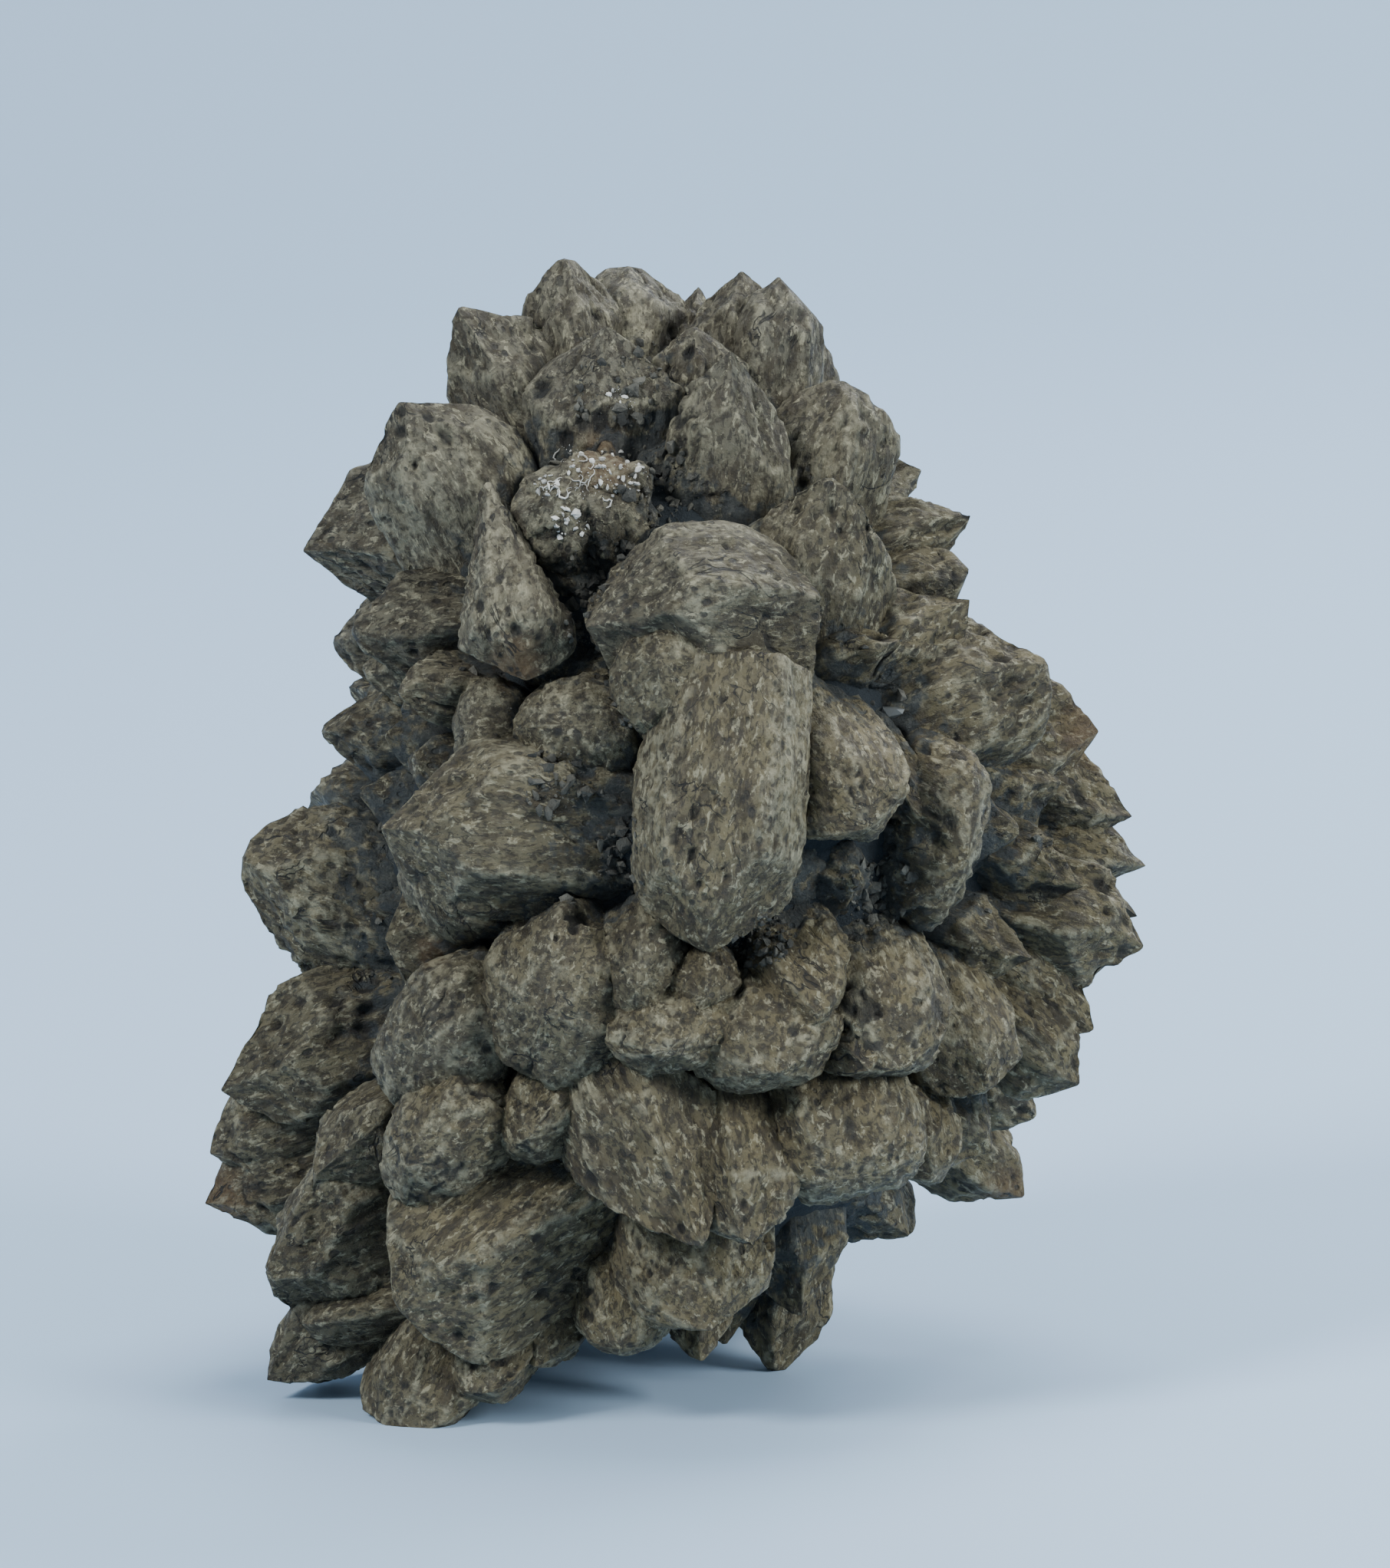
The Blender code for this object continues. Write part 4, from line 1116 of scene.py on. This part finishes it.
def calcite(blotches, lines, pits, fissures):
    """Earthy olive-tan crystal with brown mottling, pale flecks of painted highlight, rust, a grey bloom,
    and dirt and painted shade in its hollows, pin pits and cracks.
    """
    material, tree, shader = new_material("calcite")
    grain = attribute(tree, "grain")
    blade, buried = number_of(tree, "blade"), number_of(tree, "buried")
    hollow, _, ridge = parts_of(tree, attribute(tree, "state"))
    warm, weathered, rust = parts_of(tree, attribute(tree, "tone"))

    tan = mixed(tree, blade, TAN, TAN_DULL)
    tan = mixed(tree, scaled_by(tree, warm, 0.6), tan, TAN_WARM)
    tan = mixed(tree, scaled_by(tree, weathered, 0.65), tan, TAN_GREY)
    slow = use(tree, blotches, Grain=grain, Size=6.5, Cover=0.5, Softness=0.16)
    tan = mixed(tree, scaled_by(tree, slow, 0.55), tan, TAN_DEEP)
    mottled = use(tree, blotches, Grain=grain, Size=1.7, Cover=0.48, Softness=0.05)
    tan = mixed(tree, scaled_by(tree, mottled, 0.78), tan, BROWN)
    # Pale flecks: painted highlights scattered over the crystal.
    pale = use(tree, blotches, Grain=grain, Size=0.9, Cover=0.41, Softness=0.05)
    tan = mixed(tree, scaled_by(tree, pale, 0.68), tan, PALE)
    fleck = use(tree, blotches, Grain=grain, Size=0.7, Cover=0.45, Softness=0.03)
    tan = mixed(tree, scaled_by(tree, fleck, 0.78), tan, DARK_BROWN)
    tan = mixed(tree, scaled_by(tree, rust, 0.5), tan, RUST)
    worn = scaled_by(tree, ridge, between(tree, noise(tree, grain, 0.8, 4.0), 0.4, 0.62))
    tan = mixed(tree, scaled_by(tree, worn, 0.55), tan, PALE)
    pricks = use(tree, pits, Grain=grain, Spacing=1.5)
    cracks = use(tree, fissures, Grain=grain, Width=0.008)
    # Dirt and painted shade: the hollows, pin pits and cracks are darkened toward the near-black SHADE
    # colour.
    dirt_and_painted_shade = math_of(tree, "MAXIMUM", between(tree, hollow, 0.1, 0.8), scaled_by(tree, pricks, 0.75))
    dirt_and_painted_shade = math_of(tree, "MAXIMUM", dirt_and_painted_shade, cracks)
    tan = mixed(tree, scaled_by(tree, dirt_and_painted_shade, 0.85), tan, SHADE)
    clayey = math_of(tree, "ADD", buried, between(tree, noise(tree, grain, 0.5, 5.0), 0.3, 0.7, -0.35, 0.35))
    tan = mixed(tree, scaled_by(tree, between(tree, clayey, 0.35, 0.75), 0.8), tan, CLAY_STAIN)
    tree.links.new(tan, shader.inputs["Base Color"])

    rough = between(tree, noise(tree, grain, 0.9, 3.0), 0.3, 0.7, 0.55, 0.9)
    tree.links.new(rough, shader.inputs["Roughness"])
    height = use(tree, lines, Grain=grain, Fineness=1.1)
    height = math_of(tree, "SUBTRACT", height, scaled_by(tree, pricks, 0.4))
    height = math_of(tree, "SUBTRACT", height, scaled_by(tree, fleck, 0.12))
    height = math_of(tree, "SUBTRACT", height, scaled_by(tree, cracks, 0.7))
    raise_surface(tree, shader, height)
    return material


def clay(name, blotches, lines, dark, light):
    """Dry clay or grit between dark and light, with dark patches."""
    material, tree, shader = new_material(name)
    grain = attribute(tree, "grain")
    patches = use(tree, blotches, Grain=grain, Size=1.6, Cover=0.5, Softness=0.1)
    crumb = mixed(tree, number_of(tree, "blade"), dark, light)
    colour = mixed(tree, scaled_by(tree, patches, 0.5), crumb, dark)
    tree.links.new(colour, shader.inputs["Base Color"])
    shader.inputs["Roughness"].default_value = 0.93
    raise_surface(tree, shader, use(tree, lines, Grain=grain, Fineness=1.5))
    return material


def plain(name, colour, roughness):
    """White cotton-like lint with chalky crumbs, or a chip of clear calcite, a little uneven in tone."""
    material, tree, shader = new_material(name)
    darker = tuple(0.45 * channel for channel in colour)
    tree.links.new(mixed(tree, number_of(tree, "blade"), colour, darker), shader.inputs["Base Color"])
    shader.inputs["Roughness"].default_value = roughness
    return material


# Colours

TAN = (0.160, 0.139, 0.077)
TAN_DULL = (0.110, 0.100, 0.062)
TAN_WARM = (0.168, 0.137, 0.062)
TAN_GREY = (0.140, 0.134, 0.101)
TAN_DEEP = (0.062, 0.052, 0.030)
BROWN = (0.042, 0.033, 0.018)
DARK_BROWN = (0.030, 0.025, 0.016)
PALE = (0.37, 0.35, 0.235)
RUST = (0.14, 0.082, 0.032)
SHADE = (0.010, 0.010, 0.009)
CLAY_STAIN = (0.036, 0.046, 0.050)
CLAY_DARK, CLAY_LIGHT = (0.014, 0.021, 0.026), (0.044, 0.057, 0.064)
GRIT_DARK, GRIT_LIGHT = (0.040, 0.042, 0.038), (0.19, 0.185, 0.15)
LINT_WHITE = (0.66, 0.66, 0.61)
CHIP_PALE = (0.19, 0.205, 0.20)


# The cluster

blotches, lines, pits = blotch_group(), growth_line_group(), pin_pit_group()
calcite_look = calcite(blotches, lines, pits, fissure_group())
clay_look = clay("clay", blotches, lines, CLAY_DARK, CLAY_LIGHT)
grit_look = clay("grit", blotches, lines, GRIT_DARK, GRIT_LIGHT)
lint_look = plain("lint", LINT_WHITE, 0.8)
chip_look = plain("pale_chip", CHIP_PALE, 0.35)

# How far apart the points of a mesh lie, in mm, coarser where less of it shows

COARSER = 1.0
SHOWN_STEP = 0.52 * COARSER
LOW_STEP = 0.7 * COARSER
VALLEY_STEP = 0.84 * COARSER
BACK_STEP = 1.05 * COARSER
FAR_VALLEY_STEP = 1.4 * COARSER

SIDES = (
    ("crown_blades", CROWN + UPPER_RIGHT, SHOWN_STEP),
    ("upper_left_blades", UPPER_LEFT + CENTRE, SHOWN_STEP),
    ("right_blades", RIGHT, SHOWN_STEP),
    ("left_blades", LEFT, SHOWN_STEP),
    ("lower_left_blades", LOWER_LEFT, SHOWN_STEP),
    ("lower_centre_blades", LOWER_CENTRE, SHOWN_STEP),
    ("lower_right_blades", LOWER_RIGHT + UNDERSIDE, LOW_STEP),
)

number = 0
for name, rows, step in SIDES:
    placed = [(crystal, wide_way(crystal)) for crystal in rows]
    grown_together(name, crystals_of(placed, number, step), calcite_look)
    number += len(rows)
back = back_crystals()
valley = valley_crystals()
tips = [crystal.tip for _, rows, _ in SIDES for crystal in rows] + [crystal.tip for crystal, _ in back]
for name, grown, step in (
    ("back_blades", back, BACK_STEP),
    ("valley_blades", valley, VALLEY_STEP),
    ("far_valley_blades", far_valley_crystals(tips), FAR_VALLEY_STEP),
):
    grown_together(name, crystals_of(grown, number, step), calcite_look)
    number += len(grown)

clay_body = show("clay_between_blades", clay_mesh("clay_between_blades"))
clay_body.data.materials.append(clay_look)
bpy.context.view_layer.update()
rock = list(pieces)
for name, shapes, look in (
    ("grit_between_blades", grit_shapes(rock), grit_look),
    ("lint_on_blades", lint_shapes(rock), lint_look),
    ("chip_between_blades", chip_shapes(rock), chip_look),
):
    show(name, loose_mesh(name, shapes, False)).data.materials.append(look)

for made in pieces:
    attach(made, "root")
    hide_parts(NODE)


# Floor, light and camera


SWEEP_FRONT, SWEEP_BEND, SWEEP_TOP = -1.6, 0.7, 2.4
SWEEP_RADIUS, SWEEP_STEPS = 0.5, 12
SWEEP_HALF_WIDTH = 2.2
SWEEP_COLOUR = (0.40, 0.55, 0.72, 1.0)
COOL_WHITE = (0.95, 0.98, 1.0)
KEY_WHITE = (0.98, 0.99, 1.0)
AIR_COLOUR, AIR_STRENGTH = (0.72, 0.82, 0.95, 1.0), 0.45
CAMERA_DISTANCE = 1.9
VIEW_MIDDLE = (2.385, 76.7, 0.0)
VIEW_HEIGHT = 187.5
SENSOR_MM = 24.0


def stage_sweep():
    """A floor that curves up behind into a backdrop."""
    bm = bmesh.new()
    profile_points = [(SWEEP_FRONT, 0.0), (SWEEP_BEND, 0.0)]
    for k in range(1, SWEEP_STEPS + 1):
        turn = math.pi / 2 * k / SWEEP_STEPS
        rise = SWEEP_RADIUS * (1 - math.cos(turn))
        profile_points.append((SWEEP_BEND + SWEEP_RADIUS * math.sin(turn), rise))
    profile_points.append((SWEEP_BEND + SWEEP_RADIUS, SWEEP_TOP))
    rows = []
    for x in (-SWEEP_HALF_WIDTH, SWEEP_HALF_WIDTH):
        rows.append([bm.verts.new((x, y, z)) for y, z in profile_points])
    for a in range(len(profile_points) - 1):
        bm.faces.new((rows[0][a], rows[1][a], rows[1][a + 1], rows[0][a + 1]))
    for face in bm.faces:
        face.smooth = True
    mesh = bpy.data.meshes.new("studio_sweep")
    bm.to_mesh(mesh)
    bm.free()
    made = bpy.data.objects.new("studio_sweep", mesh)
    bpy.context.scene.collection.objects.link(made)
    material, _, shader = new_material("pale_sweep")
    shader.inputs["Base Color"].default_value = SWEEP_COLOUR
    shader.inputs["Roughness"].default_value = 0.5
    mesh.materials.append(material)


def soft_light(name, place, aim, size, watts, colour):
    light = bpy.data.lights.new(name, "AREA")
    light.shape = "DISK"
    light.size = size
    light.energy = watts
    light.color = colour
    made = bpy.data.objects.new(name, light)
    bpy.context.scene.collection.objects.link(made)
    made.location = place
    made.rotation_euler = (Vector(aim) - Vector(place)).to_track_quat("-Z", "Y").to_euler()


def camera():
    """Looks along the front view's own direction, from far enough to show it nearly without perspective."""
    aim = Vector(standing(np.array([VIEW_MIDDLE]))[0])
    back_off = Vector(VIEWER_WAY)
    lens = bpy.data.cameras.new("front_view")
    lens.sensor_fit = "VERTICAL"
    lens.sensor_height = SENSOR_MM
    lens.lens = SENSOR_MM * CAMERA_DISTANCE / (VIEW_HEIGHT * MM)
    lens.clip_start = 0.05
    made = bpy.data.objects.new("front_view", lens)
    bpy.context.scene.collection.objects.link(made)
    axes = Matrix((Vector(RIGHT_WAY), Vector(UP_WAY), back_off)).transposed().to_4x4()
    axes.translation = aim + back_off * CAMERA_DISTANCE
    made.matrix_world = axes
    bpy.context.scene.camera = made


stage_sweep()
soft_light("key_upper_left", (-0.78, -0.58, 0.85), (0, 0, 0.06), 0.4, 14.5, KEY_WHITE)
soft_light("fill_right", (0.9, -0.45, 0.55), (0, 0, 0.07), 0.5, 13.0, COOL_WHITE)
soft_light("top_back", (0.1, 0.35, 1.1), (0, 0, 0.05), 0.6, 7.5, COOL_WHITE)
soft_light("soft_behind", (0.45, 0.6, 0.6), (0, 0, 0.07), 0.5, 6.5, COOL_WHITE)
world = bpy.data.worlds.new("studio_air")
bpy.context.scene.world = world
world.use_nodes = True
world.node_tree.nodes["Background"].inputs[0].default_value = AIR_COLOUR
world.node_tree.nodes["Background"].inputs[1].default_value = AIR_STRENGTH
camera()
